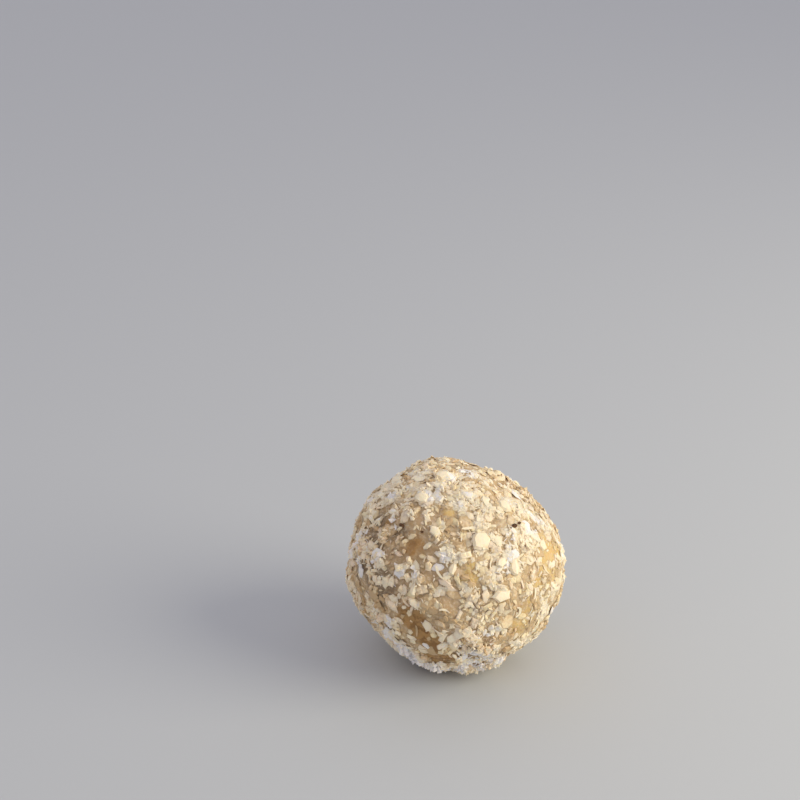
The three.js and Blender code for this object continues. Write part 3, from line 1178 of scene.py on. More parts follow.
@dataclass
class PasteBall:
    """The ball of paste that shows between the coconut.

    Attributes:
        TINTS: the patches of colour, each over the one before it.
        form: its rounded form.
        plan: where it is bare.
        detail: subdivisions of the icosphere that it starts from.
        lumps: width and height of the lumps in the paste.
        grain: width and height of the grain on them.
        brown_spots: places where it is brown; the one at the top right edge is partly painted shadow of a
            neighbouring ball.
        umber_spots: places where it is grey-brown; on the left half partly painted shade of the shaded side,
            and at the far left edge painted shade.
        cream_spots: places where fine coconut makes it pale; along the outline partly painted sheen of
            grazing light.
        gold_spots: places where it is yellow.
        caramel_spots: places where dark fruit shows.
        weld: gap up to which points are on the plane of the foot.
        piece: the finished object.
    """

    TINTS = ("brown", "umber", "cream", "gold", "caramel")

    form: BallForm
    plan: CoatPlan
    detail: int = 7
    lumps: tuple[float, float] = (2.2, 0.3)
    grain: tuple[float, float] = (1.0, 0.16)
    brown_spots: tuple[Place, ...] = (
        # (7.2, 14.5) browns the top right edge: partly its tan colour, partly painted shadow where a
        # neighbouring ball touches.
        *spots((-6, 0, 10, 0.6), (-2, -8, 6, 0.4), (10.5, -7.5, 6.5, 0.45), (7.2, 14.5, 4, 0.8)),
        *spots((-6, 2, 9, 0.6), behind=True),
    )
    umber_spots: tuple[Place, ...] = (
        # Grey-brown on the left half: partly the paste's colour, partly painted shade of the shaded side;
        # (-16.2, -0.8) at the far left edge is painted shade.
        *spots((-12.5, 5.5, 5, 0.8), (-12, -4, 5.5, 0.9), (-13.5, 0, 5, 0.8), (-16.2, -0.8, 3.5, 0.9)),
        *spots((-15, 6, 3, 0.7), (-8.4, 4.4, 3, 0.7), (-10, -12, 5, 0.6), (3, -13.5, 5, 0.9)),
        *spots((8, -6, 6, 0.7), behind=True),
    )
    cream_spots: tuple[Place, ...] = (
        *spots((10, 6, 7, 0.5)),
        # Along the outline the cream is partly fine coconut, partly painted sheen of grazing light.
        *arc(54, 22, 5, 4.5, 0.5),
        *arc(-24, -58, 4, 4, 0.6),
        *arc(214, 246, 4, 3.5, 0.5),
    )
    gold_spots: tuple[Place, ...] = (
        *spots((14.9, 2.3, 4.8, 1.3), (1.9, -1.4, 3.2, 1.3), (-1, 8.1, 2.4, 0.6), (10.5, -10, 4.6, 0.55)),
        *spots((12.6, -5.4, 5, 0.45), (14.8, -2.1, 4.4, 1.2)),
        *spots((8, -7, 3.4, 0.8), behind=True),
    )
    caramel_spots: tuple[Place, ...] = (
        *spots((-6.9, -8.8, 4, 1.3), (-4.6, -11.6, 4, 1.1), (-3.3, -12.9, 2.6, 1)),
        *spots((-3, -15, 3.1, 1.4), (-0.9, -15.2, 3.1, 1.4), (-6.7, 2.8, 4.2, 0.65), (-10.9, 6.5, 2, 0.5)),
        *spots((3, 7, 2.6, 0.8), (-9, -3, 2.4, 1), behind=True),
    )
    weld: float = 0.001
    piece: bpy.types.Object = field(default=None, init=False)

    def build(self) -> bpy.types.Object:
        """Models the ball: rounded, lumped, grained and flat where it stands.

        Returns:
            The new piece.
        """
        deselect()
        bpy.ops.mesh.primitive_ico_sphere_add(subdivisions=self.detail, radius=1.0)
        self.piece = bpy.context.object
        self.piece.name = self.piece.data.name = "paste_ball"
        points = mesh_points(self.piece.data)
        directions = points / np.linalg.norm(points, axis=1)[:, None]
        radius = self.form.radius(directions) + self.plan.relief(directions)
        points = (directions * radius[:, None] + self.form.middle) * MM
        self.piece.data.vertices.foreach_set("co", points.ravel())
        self.piece.data.update()
        for name, (size, height) in (("lumps", self.lumps), ("grain", self.grain)):
            texture = bpy.data.textures.new(name, "CLOUDS")
            texture.noise_scale = size * MM
            apply_modifier("DISPLACE", texture=texture, strength=height * MM, mid_level=0.5)
            bpy.data.textures.remove(texture)
        edit_all()
        foot = {"plane_co": (0, 0, 0), "plane_no": (0, 0, 1), "threshold": self.weld * MM}
        bpy.ops.mesh.bisect(use_fill=True, clear_inner=True, **foot)
        bpy.ops.object.mode_set(mode="OBJECT")
        bpy.ops.object.shade_smooth()
        return self.piece

    def seats(self, directions: np.ndarray) -> tuple[np.ndarray, np.ndarray]:
        """Finds the points where lines from the middle of the ball leave the paste.

        Args:
            directions: unit vectors, one in each row.

        Returns:
            The distance from the middle for each direction, in millimetres, and the outward normal there.
        """
        tree = BVHTree.FromObject(self.piece, bpy.context.evaluated_depsgraph_get())
        middle = Vector(self.form.middle) * MM
        hits = [tree.ray_cast(middle, Vector(way)) for way in directions]
        return np.array([hit[3] for hit in hits]) / MM, np.array([hit[1] for hit in hits])

    def dress(self, finish: PasteFinish) -> None:
        """Marks the patches and gives the ball its finish.

        Args:
            finish: the paste's finish.
        """
        points = mesh_points(self.piece.data) / MM - self.form.middle
        directions = points / np.linalg.norm(points, axis=1)[:, None]
        for name in self.TINTS:
            places = getattr(self, name + "_spots")
            set_attribute(self.piece, name, self.form.summed(directions, places))
        set_attribute(self.piece, "bare", self.plan.thinness(directions))
        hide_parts(NODE)
        finish_piece(self.piece, finish.material(), finish.slot)


class Cut(Enum):
    """The ways in which the coconut is cut."""

    FLAKE = "coconut_flakes"
    CHIP = "coconut_chips"
    BIT = "coconut_bits"
    SOAKED = "soaked_bits"
    SHRED = "coconut_shreds"
    CRUMB = "coconut_crumbs"
    CHUNK = "coconut_chunks"
    FUZZ = "coconut_fuzz"


class Spread(Enum):
    """Where a batch of coconut lies."""

    COAT = "all over"
    LOOSE = "on the loose spots"


@dataclass
class Draws:
    """Even draws from 0 to 1, the same ones that place the solid's flakes.

    Attributes:
        state: the last draw as a whole number, at first the seed.
        factor: what it is multiplied by for the next draw.
        span: the number that it is counted round.
    """

    state: int = 20731
    factor: int = 48271
    span: int = 2**31 - 1

    def next(self) -> float:
        """Makes the next draw."""
        self.state = self.state * self.factor % self.span
        return self.state / self.span

    def between(self, ends: tuple[float, float]) -> float:
        """Makes a draw between two ends."""
        return ends[0] + (ends[1] - ends[0]) * self.next()

    def skip(self, count: int) -> None:
        """Leaves out draws that shape the solid alone."""
        for _ in range(count):
            self.next()


@dataclass
class LargeFlakes:
    """The largest flakes, the same ones that the solid has.

    Attributes:
        plan: where the coconut lies thick and thin.
        front: right, up, length, width, turn, corners and tilt of those that show best, in degrees.
        front_axis: direction of the axis that they tilt about, in turns.
        front_thickness, front_draws: their thickness, and the draws that each takes in the solid.
        corners: corners that they can have.
        count, first: how many further ones there are, and where their even spread starts.
        wander: how far a flake leaves its place in it.
        longest, fall, fall_rank: the longest length, and how it falls with the rank.
        width: least and most width, of the length.
        thickness, most_lean: least and most thickness, and most lean in degrees, all in the solid.
        corner_draws: draws that the corners of every other flake take in the solid.
        shown, lifts: thickness of that in the solid, and height, at the front and elsewhere.
        lean, smooth_lean: share of the lean that is left, and how much less where pressed smooth.
        front_tone, tone, tone_spread: colour at the front, that elsewhere and how much it varies.
        follow: how much they follow the lumps of the paste.
        seed: seed of the colours and patterns.
    """

    plan: CoatPlan
    front: tuple[tuple[float, float, float, float, float, int, float], ...] = (
        (3.8, 3.6, 3.5, 2.9, 30, 7, 6),
        (7.2, -4.9, 3.7, 2.2, -5, 5, 6),
        (9.1, -0.4, 2.9, 1.7, 80, 6, 6),
        (1.5, 1.2, 2.8, 1.4, 12, 4, 8),
        (7.7, 9.3, 2.7, 2.3, 70, 6, 6),
        (-2.3, 13.8, 2.6, 2.1, 50, 5, 6),
        (-5.4, 10, 2.4, 2.1, 10, 7, 6),
        (-8.7, -0.9, 2.2, 1.5, 30, 4, 26),
        (-7.6, -2.4, 2, 1.3, -50, 4, 24),
        (-6.3, -6.4, 2.7, 1.5, -35, 5, 24),
        (-6.3, -4.1, 2.1, 1.2, 85, 6, 20),
        (-3.3, 4.8, 2.5, 1.7, -40, 5, 14),
        (7, 0.2, 2.1, 1.7, 15, 5, 6),
        (-0.4, -0.8, 2.2, 1.3, 75, 6, 12),
    )
    front_axis: float = 1 / 3
    front_thickness: float = 0.8
    front_draws: int = 6
    corners: tuple[int, ...] = (4, 5, 6, 7)
    count: int = 320
    first: float = 0.5
    wander: float = 0.05
    longest: float = 3.0
    fall: float = 0.33
    fall_rank: float = 40.0
    width: tuple[float, float] = (0.45, 0.85)
    thickness: tuple[float, float] = (0.5, 0.8)
    most_lean: float = 26.0
    corner_draws: tuple[int, int] = (4, 5)
    shown: tuple[float, float] = (0.5, 0.28)
    lean: float = 0.6
    smooth_lean: float = 0.5
    lifts: tuple[float, float] = (0.15, 0.03)
    front_tone: float = 0.9
    tone: float = 0.64
    tone_spread: float = 0.1
    follow: float = 0.4
    seed: int = 20

    def rows(self) -> np.ndarray:
        """Repeats the solid's draws, in the same order.

        Returns:
            Direction, length, width, thickness, turn, lean and its axis, in a row for each flake.
        """
        draws = Draws()
        rows = []
        for right, up, length, width, turn, _, tilt in self.front:
            draws.skip(self.front_draws)
            size = (length, width, self.front_thickness)
            angles = (math.radians(turn), math.radians(tilt), self.front_axis)
            rows.append((*Place(right, up).direction(), *size, *angles))
        for rank in range(self.count):
            across = self.first + rank / PLASTIC_NUMBER + self.wander * draws.next()
            around = self.first + rank / PLASTIC_NUMBER**2 + self.wander * draws.next()
            direction = spread_direction(across, around)
            length = self.longest * (1 + rank / self.fall_rank) ** -self.fall
            size = (length, length * draws.between(self.width), draws.between(self.thickness))
            angles = (FULL_TURN * draws.next(), math.radians(self.most_lean * draws.next()), draws.next())
            draws.skip(self.corner_draws[rank % 2])
            if self.plan.bareness(direction[None])[0] < draws.next():
                rows.append((*direction, *size, *angles))
        return np.array(rows)

    def lay(self) -> Lay:
        """Lays the flakes, thinner and flatter than in the solid as they lie among finer coconut.

        Returns:
            How they lie.
        """
        rows = self.rows()
        directions, sizes = rows[:, :3], rows[:, 3:6]
        turns, leans, axes = rows[:, 6:].T
        front = np.arange(len(rows)) < len(self.front)
        draw = np.random.default_rng(self.seed)
        patterns = draw.integers(len(self.corners), PATTERN_DRAWS, len(rows))
        patterns[front] = [self.corners.index(flake[5]) for flake in self.front]
        sizes[:, 2] *= np.where(front, *self.shown)
        flatter = self.lean - self.smooth_lean * self.plan.smoothness(directions)
        tones = draw.normal(self.tone, self.tone_spread, len(rows)) + self.plan.shade(directions)
        return Lay(
            directions=directions,
            sizes=sizes,
            turns=turns,
            leans=np.where(front, 1, flatter) * leans,
            lean_turns=FULL_TURN * axes,
            lifts=np.where(front, *self.lifts),
            tones=np.where(front, self.front_tone, tones),
            tints=draw.random(len(rows)),
            patterns=patterns,
            follow=self.follow,
        )


@dataclass(frozen=True)
class Batch:
    """A batch of finer coconut.

    Attributes:
        count: how many bits are tried.
        length: least, usual and most length.
        width: least and most width, of the length.
        thickness: least and most thickness, of the length for shreds.
        lean: usual lean in degrees.
        standing: share that stands up.
        lift: least and most height of the inner face above the paste.
        tone: usual colour, from soaked at 0 to white at 1, whiter above and grey painted shade at the
            highest.
        tone_spread: how much the colour varies.
        seed: seed of the draws.
        rough: share that is missing where the coconut is pressed smooth.
        damp: share that is missing where the coconut is loose.
        spread: where it lies.
        least_loose: looseness from which a loose batch lies.
    """

    count: int
    length: tuple[float, float, float]
    width: tuple[float, float]
    thickness: tuple[float, float]
    lean: float
    standing: float
    lift: tuple[float, float]
    tone: float
    tone_spread: float
    seed: int
    rough: float
    damp: float = 0.0
    spread: Spread = Spread.COAT
    least_loose: float = 0.0


@dataclass
class CoconutCoat:
    """The coconut that the ball is rolled in, from large flakes to fuzz.

    Attributes:
        form, plan, paste: the ball's form, where the coconut lies and the paste that it lies on.
        cutter: the way its bits are modelled.
        flake_kind, chip_kind, bit_kind: the kinds of flat bits.
        flake_wander, flake_curl, flake_seed: unevenness, curl in degrees and seed of a regular flake.
        front_shreds: right, up, length, turn in degrees and pattern of the shreds that show best.
        shred_thickness, shred_lift: their thickness, of the length, and height above the paste.
        shred_tone, shred_tint: their colour and tint.
        wander, length_spread: how far bits leave their places, and how much their length varies.
        standing_lean: least and most lean of a bit that stands up, in degrees.
        follow: how much the finer bits follow the lumps of the paste.
        stain_height, stain_depth: up to which height and how much the coconut is darker near the paste,
            partly stained by it and partly painted shade at the bits' bottoms.
        edge_depth: how much more soaked the edge of a bit is than its middle.
        edge_reach, edge_middle: where that ends and where it is 0, of half the length.
        thick_white, thick_from: how much whiter coconut is where its cover is above the latter.
        loose_gain, loose_lean, loose_pink: how much thicker, more tilted and pinker loose bits are.
        loose_lift: how much higher loose bits lie, and how much lower pressed ones do.
        loose_white, loose_dry, loose_clean: how much whiter and drier loose bits are, and how much less of
            the stain and painted shade near the paste they get.
        bright_from, bright_gain: planned whiteness above which bits can be whiter, and how much.
        most_tone: the highest tone, which reaches the grey painted shade.
        smooth_lean, smooth_thin, haze: how much flatter and thinner pressed bits are, and how much less of
            the stain and painted shade near the paste they get.
        least_height: least height of a bit's seat above the table.
        crease: angle above which an edge stays sharp, in degrees.
        chips, bits, soaked, crumbs, shreds, chunks, fuzz: the batches of finer coconut.
    """

    form: BallForm
    plan: CoatPlan
    paste: PasteBall
    cutter: Cutter = Cutter()
    flake_kind: PlateKind = PlateKind(
        count=10, corners=5, cuts=1, wander=0.13, curl=0.5, worn=True, seed=100
    )
    chip_kind: PlateKind = PlateKind(
        count=20, corners=4, cuts=1, wander=0.13, curl=1.0, worn=False, seed=200
    )
    bit_kind: PlateKind = PlateKind(
        count=24, corners=4, cuts=0, wander=0.17, curl=1.0, worn=False, seed=500
    )
    flake_wander: float = 0.05
    flake_curl: float = 8.0
    flake_seed: int = 90
    front_shreds: tuple[tuple[float, float, float, float, int], ...] = (
        (10.5, -7.3, 2.6, 90, 7), (0.8, 4.2, 1.9, 100, 2), (2.2, 5.5, 2.8, 5, 0), (-2.6, -1.6, 2.4, -55, 1),
        (0.5, -2.4, 1.9, 100, 4), (11, 3.2, 2.2, 60, 5), (12.8, -4.4, 2, 75, 2), (-12, 2.4, 2, 110, 4),
        (-13.4, -2.2, 2.2, -60, 1), (4.4, -8.2, 2.1, 40, 3), (-1.5, -7, 1.8, -20, 5), (8.2, 5.6, 1.3, 75, 3),
    )
    shred_thickness: float = 0.8
    shred_lift: float = 0.14
    shred_tone: float = 0.85
    shred_tint: float = 0.5
    wander: float = 0.05
    length_spread: float = 0.32
    standing_lean: tuple[float, float] = (20.0, 50.0)
    follow: float = 0.75
    stain_height: float = 0.16
    stain_depth: float = 0.24
    edge_depth: float = 0.16
    edge_reach: float = 1.2
    edge_middle: float = 0.6
    thick_white: float = 0.25
    thick_from: float = 0.6
    loose_gain: float = 1.6
    loose_lean: float = 0.8
    loose_pink: float = 0.4
    loose_lift: float = 0.08
    loose_white: float = 0.45
    loose_dry: float = 0.7
    loose_clean: float = 0.5
    bright_from: float = 0.5
    bright_gain: float = 0.45
    most_tone: float = 3.0
    smooth_lean: float = 0.9
    smooth_thin: float = 0.5
    haze: float = 0.8
    least_height: float = 0.1
    crease: float = 30.0
    chips: Batch = Batch(
        count=5600, length=(0.8, 1.5, 2.8), width=(0.25, 0.8), thickness=(0.08, 0.2), lean=8,
        standing=0.02, lift=(-0.08, 0.06), tone=0.68, tone_spread=0.11, seed=21, rough=0.1,
    )
    bits: Batch = Batch(
        count=3400, length=(0.5, 0.85, 1.3), width=(0.25, 0.85), thickness=(0.07, 0.16), lean=11,
        standing=0.03, lift=(-0.05, 0.1), tone=0.7, tone_spread=0.11, seed=24, rough=0.85,
    )
    soaked: Batch = Batch(
        count=6200, length=(0.7, 1.3, 2.3), width=(0.45, 0.95), thickness=(0.06, 0.14), lean=7,
        standing=0.01, lift=(-0.06, 0.04), tone=0.3, tone_spread=0.12, seed=25, rough=0.6, damp=0.8,
    )
    crumbs: Batch = Batch(
        count=1100, length=(0.16, 0.28, 0.5), width=(0.5, 1.0), thickness=(0.1, 0.2), lean=20,
        standing=0.2, lift=(-0.02, 0.12), tone=0.55, tone_spread=0.2, seed=22, rough=0.9,
    )
    shreds: Batch = Batch(
        count=1000, length=(0.7, 1.3, 2.4), width=(0.7, 1.1), thickness=(0.5, 0.9), lean=6,
        standing=0.03, lift=(0.02, 0.12), tone=0.7, tone_spread=0.14, seed=23, rough=0.7,
    )
    chunks: Batch = Batch(
        count=4200, length=(0.5, 0.95, 1.6), width=(0.5, 0.9), thickness=(0.16, 0.3), lean=25,
        standing=0.05, lift=(0.02, 0.2), tone=0.88, tone_spread=0.14, seed=27, rough=1.0,
        spread=Spread.LOOSE,
    )
    fuzz: Batch = Batch(
        count=30000, length=(0.5, 0.85, 1.3), width=(0.7, 1.1), thickness=(0.4, 0.8), lean=25,
        standing=0.08, lift=(0.0, 0.25), tone=1.15, tone_spread=0.12, seed=26, rough=1.0,
        spread=Spread.LOOSE, least_loose=0.45,
    )

    def places(self, batch: Batch, draw: np.random.Generator) -> np.ndarray:
        """Spreads a batch evenly over the ball, thick and thin as planned.

        Args:
            batch: the batch.
            draw: the batch's draws.

        Returns:
            A unit vector for each bit.
        """
        rank = np.arange(batch.count)
        across = rank / PLASTIC_NUMBER + draw.uniform(0, self.wander, batch.count)
        around = rank / PLASTIC_NUMBER**2 + draw.uniform(0, self.wander, batch.count)
        directions = spread_direction(across, around)
        loose = self.plan.looseness(directions)
        share = self.plan.cover(directions) * (1 - batch.rough * self.plan.smoothness(directions))
        share *= 1 - batch.damp * loose
        if batch.spread is Spread.LOOSE:
            share *= np.clip((loose - batch.least_loose) / (1 - batch.least_loose), 0, 1)
        return directions[draw.random(batch.count) < share]

    def tones(self, batch: Batch, draw: np.random.Generator, directions: np.ndarray) -> np.ndarray:
        """Finds the colours of a batch.

        Args:
            batch: the batch.
            draw: the batch's draws.
            directions: unit vectors of its bits.

        Returns:
            The colour of each bit, from soaked at 0 to white at 1, whiter above and grey painted shade at
            the highest.
        """
        loose = self.plan.looseness(directions)
        shade = self.plan.shade(directions)
        tones = draw.normal(batch.tone, batch.tone_spread, len(directions))
        tones += self.thick_white * (self.plan.cover(directions) - self.thick_from)
        tones += np.where(shade < 0, 1 - self.loose_dry * loose, 1) * shade
        if batch.spread is Spread.LOOSE:
            return tones
        bright = self.bright_gain * np.clip(shade - self.bright_from, 0, 1)
        return np.minimum(tones, 1 + np.maximum(self.loose_white * loose, bright))

    def scattered(self, batch: Batch) -> Lay:
        """Lays a batch on the ball.

        Args:
            batch: the batch.

        Returns:
            How its bits lie.
        """
        draw = np.random.default_rng(batch.seed)
        directions = self.places(batch, draw)
        count = len(directions)
        loose = self.plan.looseness(directions)
        smooth = self.plan.smoothness(directions)
        least, usual, most = batch.length
        lengths = np.clip(usual * np.exp(draw.normal(0, self.length_spread, count)), least, most)
        widths = lengths * draw.uniform(*batch.width, count)
        thicknesses = draw.uniform(*batch.thickness, count) * (1 + self.loose_gain * loose)
        thicknesses *= 1 - self.smooth_thin * smooth
        leans = np.abs(draw.normal(0, batch.lean, count)) * (1 + self.loose_lean * loose)
        standing = draw.random(count) < batch.standing
        leans = np.where(standing, draw.uniform(*self.standing_lean, count), leans)
        leans *= 1 - self.smooth_lean * smooth
        tones = self.tones(batch, draw, directions)
        return Lay(
            directions=directions,
            sizes=np.stack((lengths, widths, thicknesses), axis=1),
            turns=draw.uniform(0, FULL_TURN, count),
            leans=np.radians(leans),
            lean_turns=draw.uniform(0, FULL_TURN, count),
            lifts=draw.uniform(*batch.lift, count) + self.loose_lift * (loose - smooth),
            tones=tones,
            tints=np.minimum(draw.random(count) + self.loose_pink * loose, 1),
            patterns=draw.integers(0, PATTERN_DRAWS, count),
            follow=self.follow,
        )

    def shreds_laid(self) -> Lay:
        """Lays the shreds and adds the ones that show best.

        Returns:
            How they lie.
        """
        count = len(self.front_shreds)
        right, up, lengths, turns, patterns = np.array(self.front_shreds).T
        front = Lay(
            directions=np.array([Place(*place).direction() for place in zip(right, up)]),
            sizes=np.stack((lengths, lengths, self.shred_thickness * lengths), axis=1),
            turns=np.radians(turns),
            leans=np.zeros(count),
            lean_turns=np.zeros(count),
            lifts=np.full(count, self.shred_lift),
            tones=np.full(count, self.shred_tone),
            tints=np.full(count, self.shred_tint),
            patterns=patterns.astype(int),
            follow=self.follow,
        )
        return self.scattered(self.shreds).joined_with(front)

    def joined(self, cut: Cut, lay: Lay, patterns: list[Pattern]) -> bpy.types.Object:
        """Joins copies of the patterns into one piece, laid on the paste.

        Args:
            cut: the way the coconut is cut, which names the piece.
            lay: how the copies lie.
            patterns: the patterns to copy.

        Returns:
            The new piece.
        """
        reach, normals = self.paste.seats(lay.directions)
        seats = lay.directions * (reach + lay.lifts)[:, None] + self.form.middle
        normals = lay.directions + lay.follow * (normals - lay.directions)
        normals /= np.linalg.norm(normals, axis=1)[:, None]
        rotations = lay.rotations(normals)
        # Pressed and loose bits get less of the darkening near the paste, which is partly stain and partly
        # painted shade.
        clean = self.haze * self.plan.smoothness(lay.directions)
        clean += self.loose_clean * self.plan.looseness(lay.directions)
        stain_shade_share = np.maximum(1 - clean, 0)
        points, loops, counts, tones, tints = [], [], [], [], []
        first = 0
        for number, pattern in enumerate(patterns):
            own = (lay.patterns % len(patterns) == number) & (seats[:, 2] > self.least_height)
            size = np.array(pattern.size)
            scaled = pattern.points[None] * (lay.sizes[own] / size)[:, None, :]
            turned = np.einsum("kij,knj->kni", rotations[own], scaled)
            copies, corners = turned.shape[:2]
            starts = first + corners * np.arange(copies)
            first += copies * corners
            points.append((turned + seats[own][:, None, :]).reshape(-1, 3))
            loops.append((starts[:, None] + pattern.loops[None]).ravel())
            counts.append(np.tile(pattern.counts, copies))
            heights = np.einsum("kj,knj->kn", normals[own], turned) + lay.lifts[own][:, None]
            # Darker near the paste: partly the paste's stain, partly painted shade at the bits' bottoms. The
            # edges are more soaked.
            stains = self.stain_depth * np.clip(1 - heights / self.stain_height, 0, 1)
            edges = np.minimum(2 * np.hypot(*(pattern.points / size)[:, :2].T), self.edge_reach)
            soaked = stain_shade_share[own][:, None] * (stains + self.edge_depth * (edges - self.edge_middle))
            tones.append((lay.tones[own][:, None] - soaked).ravel())
            tints.append(np.repeat(lay.tints[own], corners))
        points = np.concatenate(points) * MM
        points[:, 2] = np.maximum(points[:, 2], 0)
        piece = new_piece(cut.value, points, np.concatenate(loops), np.concatenate(counts))
        set_attribute(piece, "tone", np.clip(np.concatenate(tones), 0, self.most_tone))
        set_attribute(piece, "tint", np.concatenate(tints))
        return piece

    def build(self) -> list[bpy.types.Object]:
        """Models the patterns and lays each batch.

        Returns:
            The pieces, one for each way of cutting.
        """
        large = LargeFlakes(self.plan)
        regular = (1, self.flake_wander, self.flake_curl, True)
        flakes = [self.cutter.plate(sides, *regular, self.flake_seed + sides) for sides in large.corners]
        flakes += self.cutter.plates(self.flake_kind)
        bits = self.cutter.plates(self.bit_kind)
        shreds = self.cutter.shreds()
        crumbs = self.cutter.crumbs()
        return [
            self.joined(Cut.FLAKE, large.lay(), flakes),
            self.joined(Cut.CHIP, self.scattered(self.chips), self.cutter.plates(self.chip_kind)),
            self.joined(Cut.BIT, self.scattered(self.bits), bits),
            self.joined(Cut.SOAKED, self.scattered(self.soaked), bits),
            self.joined(Cut.SHRED, self.shreds_laid(), shreds),
            self.joined(Cut.CRUMB, self.scattered(self.crumbs), crumbs),
            self.joined(Cut.CHUNK, self.scattered(self.chunks), crumbs),
            self.joined(Cut.FUZZ, self.scattered(self.fuzz), shreds),
        ]

    def dress(self, pieces: list[bpy.types.Object], finish: CoconutFinish) -> None:
        """Gives the coconut its finish.

        Args:
            pieces: the pieces.
            finish: the coconut's finish.
        """
        material = finish.material()
        for piece in pieces:
            deselect()
            piece.select_set(True)
            bpy.context.view_layer.objects.active = piece
            bpy.ops.object.shade_smooth_by_angle(angle=math.radians(self.crease))
            finish_piece(piece, material, finish.slot)


@dataclass
class FruitSpecks:
    """Dark specks of fruit skin that show here and there; the one at (-8.5, 5.7) is partly painted shade of
    a dark hole in the coat.

    Attributes:
        form: the form of the ball.
        paste: the paste that they sit in.
        front: right, up, length and width of each speck at the front.
        back: the same for each speck on the back.
        thickness: thickness of a speck.
        rise: height of its middle above the paste.
        wander: how far its corners leave their places, of the length.
        smoothing: how much they are smoothed after that.
        piece: the finished object.
    """

    form: BallForm
    paste: PasteBall
    front: tuple[tuple[float, float, float, float], ...] = (
        (9.0, 6.0, 0.95, 0.7),
        (9.7, 6.4, 0.7, 0.45),
        (8.4, 5.6, 0.45, 0.3),
        # Partly fruit skin, partly painted shade of a dark hole in the coat.
        (-8.5, 5.7, 1.2, 0.8),
        (9.5, 12.0, 0.6, 0.4),
        (-5.3, 4.8, 0.5, 0.35),
        (-12.5, -6.0, 0.5, 0.4),
    )
    back: tuple[tuple[float, float, float, float], ...] = (
        (4.0, 3.0, 0.9, 0.65),
        (-7.0, 6.0, 0.55, 0.4),
        (-3.0, -9.0, 0.7, 0.45),
    )
    thickness: float = 0.3
    rise: float = 0.17
    wander: float = 0.2
    smoothing: float = 0.5
    piece: bpy.types.Object = field(default=None, init=False)

    def speck(self, seat: np.ndarray, normal: np.ndarray, size: np.ndarray, seed: int) -> bpy.types.Object:
        """Models one speck.

        Args:
            seat: its middle.
            normal: outward direction that it lies flat to.
            size: its length, width and thickness.
            seed: seed of its unevenness.

        Returns:
            The new object.
        """
        deselect()
        bpy.ops.mesh.primitive_ico_sphere_add(subdivisions=2, radius=0.5, location=seat * MM)
        speck = bpy.context.object
        speck.rotation_euler = Vector(normal).to_track_quat("Z", "Y").to_euler()
        speck.scale = Vector(size) * MM
        edit_all()
        bpy.ops.transform.vertex_random(offset=self.wander, seed=seed)
        bpy.ops.mesh.vertices_smooth(factor=self.smoothing)
        bpy.ops.mesh.subdivide(number_cuts=1, smoothness=1)
        bpy.ops.object.mode_set(mode="OBJECT")
        bpy.ops.object.transform_apply()
        return speck

    def build(self) -> bpy.types.Object:
        """Models the specks and joins them.

        Returns:
            The new piece.
        """
        rows = (*self.front, *self.back)
        places = [*spots(*(row[:2] for row in self.front))]
        places += spots(*(row[:2] for row in self.back), behind=True)
        directions = np.array([place.direction() for place in places])
        reach, normals = self.paste.seats(directions)
        seats = directions * (reach + self.rise)[:, None] + self.form.middle
        made = []
        for number, row in enumerate(rows):
            size = np.array((*row[2:], self.thickness))
            made.append(self.speck(seats[number], normals[number], size, number))
        for speck in made:
            speck.select_set(True)
        bpy.ops.object.join()
        self.piece = bpy.context.object
        self.piece.name = self.piece.data.name = "fruit_specks"
        bpy.ops.object.transform_apply()
        bpy.ops.object.shade_smooth()
        return self.piece

    def dress(self, finish: FruitSkinFinish) -> None:
        """Gives the specks their finish."""
        finish_piece(self.piece, finish.material(), finish.slot)


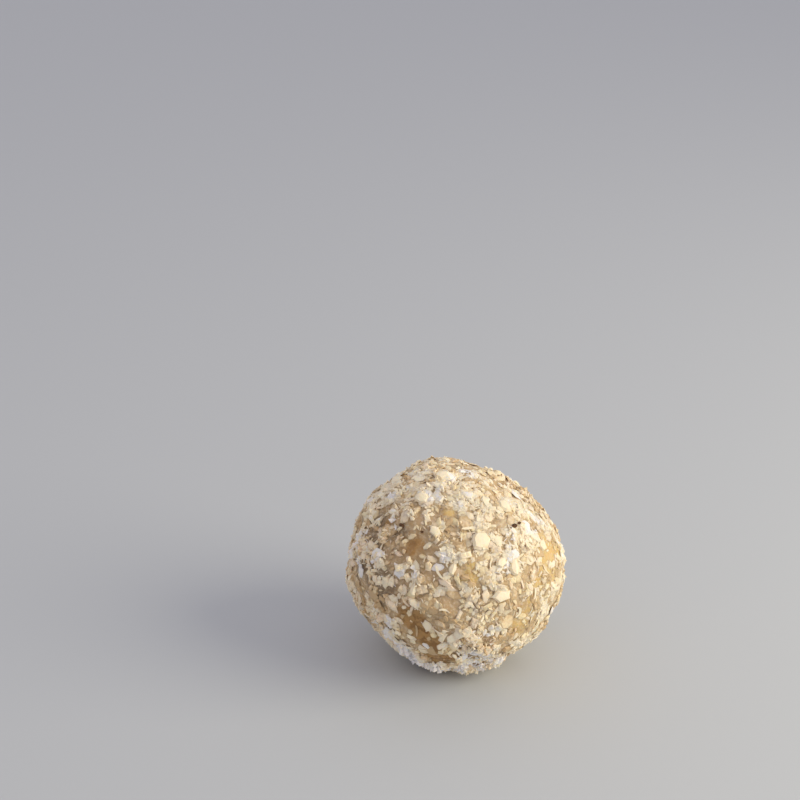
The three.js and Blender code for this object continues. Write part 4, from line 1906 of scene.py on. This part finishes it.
@dataclass
class Studio:
    """The pale floor, the soft light and the camera.

    Attributes:
        form: the form of the ball.
        picture_side: width and height of the picture, in pixels.
        ball_pixel, ball_pixels: where the middle of the ball is in the picture, and its width there.
        lens, sensor, nearest: focal length, width of the sensor and distance from which it sees.
        floor_side, floor_grey, floor_roughness: width, colour and roughness of the floor.
        key_place: where the soft light stands, from the middle of the ball.
        key_size, key_power, key_tint: its width, power in watts and colour.
        sky_tint, sky_strength: colour and strength of the light from all around.
    """

    form: BallForm
    picture_side: float = 800.0
    ball_pixel: tuple[float, float] = (455.5, 563.5)
    ball_pixels: float = 216.0
    lens: float = 71.0
    sensor: float = 36.0
    nearest: float = 5.0
    floor_side: float = 3000.0
    floor_grey: tuple = colour(0.53, 0.555, 0.58)
    floor_roughness: float = 0.8
    key_place: tuple[float, float, float] = (399.0, -107.0, 202.0)
    key_size: float = 340.0
    key_power: float = 1.64
    key_tint: tuple[float, float, float] = (1.0, 0.93, 0.735)
    sky_tint: tuple = colour(0.98, 0.945, 1.0)
    sky_strength: float = 0.63

    def build_floor(self) -> None:
        """Makes the floor and its matt finish."""
        deselect()
        bpy.ops.mesh.primitive_plane_add(size=self.floor_side * MM)
        floor = bpy.context.object
        floor.name = "floor"
        material = bpy.data.materials.new("pale_floor")
        material.use_nodes = True
        shader = material.node_tree.nodes["Principled BSDF"]
        shader.inputs["Base Color"].default_value = self.floor_grey
        shader.inputs["Roughness"].default_value = self.floor_roughness
        floor.data.materials.append(material)

    def build_light(self) -> None:
        """Makes the soft light that points at the ball, and the light from all around."""
        place = Vector(self.key_place)
        bpy.ops.object.light_add(type="AREA", location=(Vector(self.form.middle) + place) * MM)
        key = bpy.context.object
        key.name = "key"
        key.rotation_euler = (-place).to_track_quat("-Z", "Y").to_euler()
        key.data.shape = "DISK"
        key.data.size = self.key_size * MM
        key.data.energy = self.key_power
        key.data.color = self.key_tint
        world = bpy.data.worlds.new("studio")
        world.use_nodes = True
        sky = world.node_tree.nodes["Background"]
        sky.inputs["Color"].default_value = self.sky_tint
        sky.inputs["Strength"].default_value = self.sky_strength
        bpy.context.scene.world = world
        bpy.context.scene.view_settings.view_transform = "Standard"

    def build_camera(self) -> None:
        """Makes the camera, which sees the ball where the picture has it."""
        focal = self.lens / self.sensor * self.picture_side
        across, down = (np.array(self.ball_pixel) - self.picture_side / 2) / focal
        right, up, ahead = np.array((across, -down, 1.0)) / math.sqrt(across**2 + down**2 + 1)
        pitch = math.atan2(ahead, up) - math.asin(math.sin(FRONT_RISE) / math.hypot(up, ahead))
        yaw = math.atan2(right, up * math.cos(pitch) + ahead * math.sin(pitch))
        distance = focal * BALL_DIAMETER / self.ball_pixels
        back = Vector((0, -math.cos(FRONT_RISE), math.sin(FRONT_RISE)))
        place = (Vector(self.form.middle) + back * distance) * MM
        bpy.ops.object.camera_add(location=place, rotation=(pitch, 0, yaw))
        camera = bpy.context.object
        camera.name = "camera"
        camera.data.lens = self.lens
        camera.data.sensor_width = self.sensor
        camera.data.clip_start = self.nearest * MM
        bpy.context.scene.camera = camera

    def build(self) -> None:
        """Makes the whole studio."""
        self.build_floor()
        self.build_light()
        self.build_camera()


def main() -> None:
    """Builds and dresses the ball, then the studio."""
    logging.basicConfig(level=logging.INFO, format="%(name)s: %(message)s")
    effects = Effects()
    form = BallForm()
    plan = CoatPlan(form)
    paste = PasteBall(form, plan)
    paste.build()
    paste.dress(PasteFinish(effects))
    coat = CoconutCoat(form, plan, paste)
    coat.dress(coat.build(), CoconutFinish(effects))
    specks = FruitSpecks(form, paste)
    specks.build()
    specks.dress(FruitSkinFinish(effects))
    Studio(form).build()


if __name__ == "__main__":
    main()
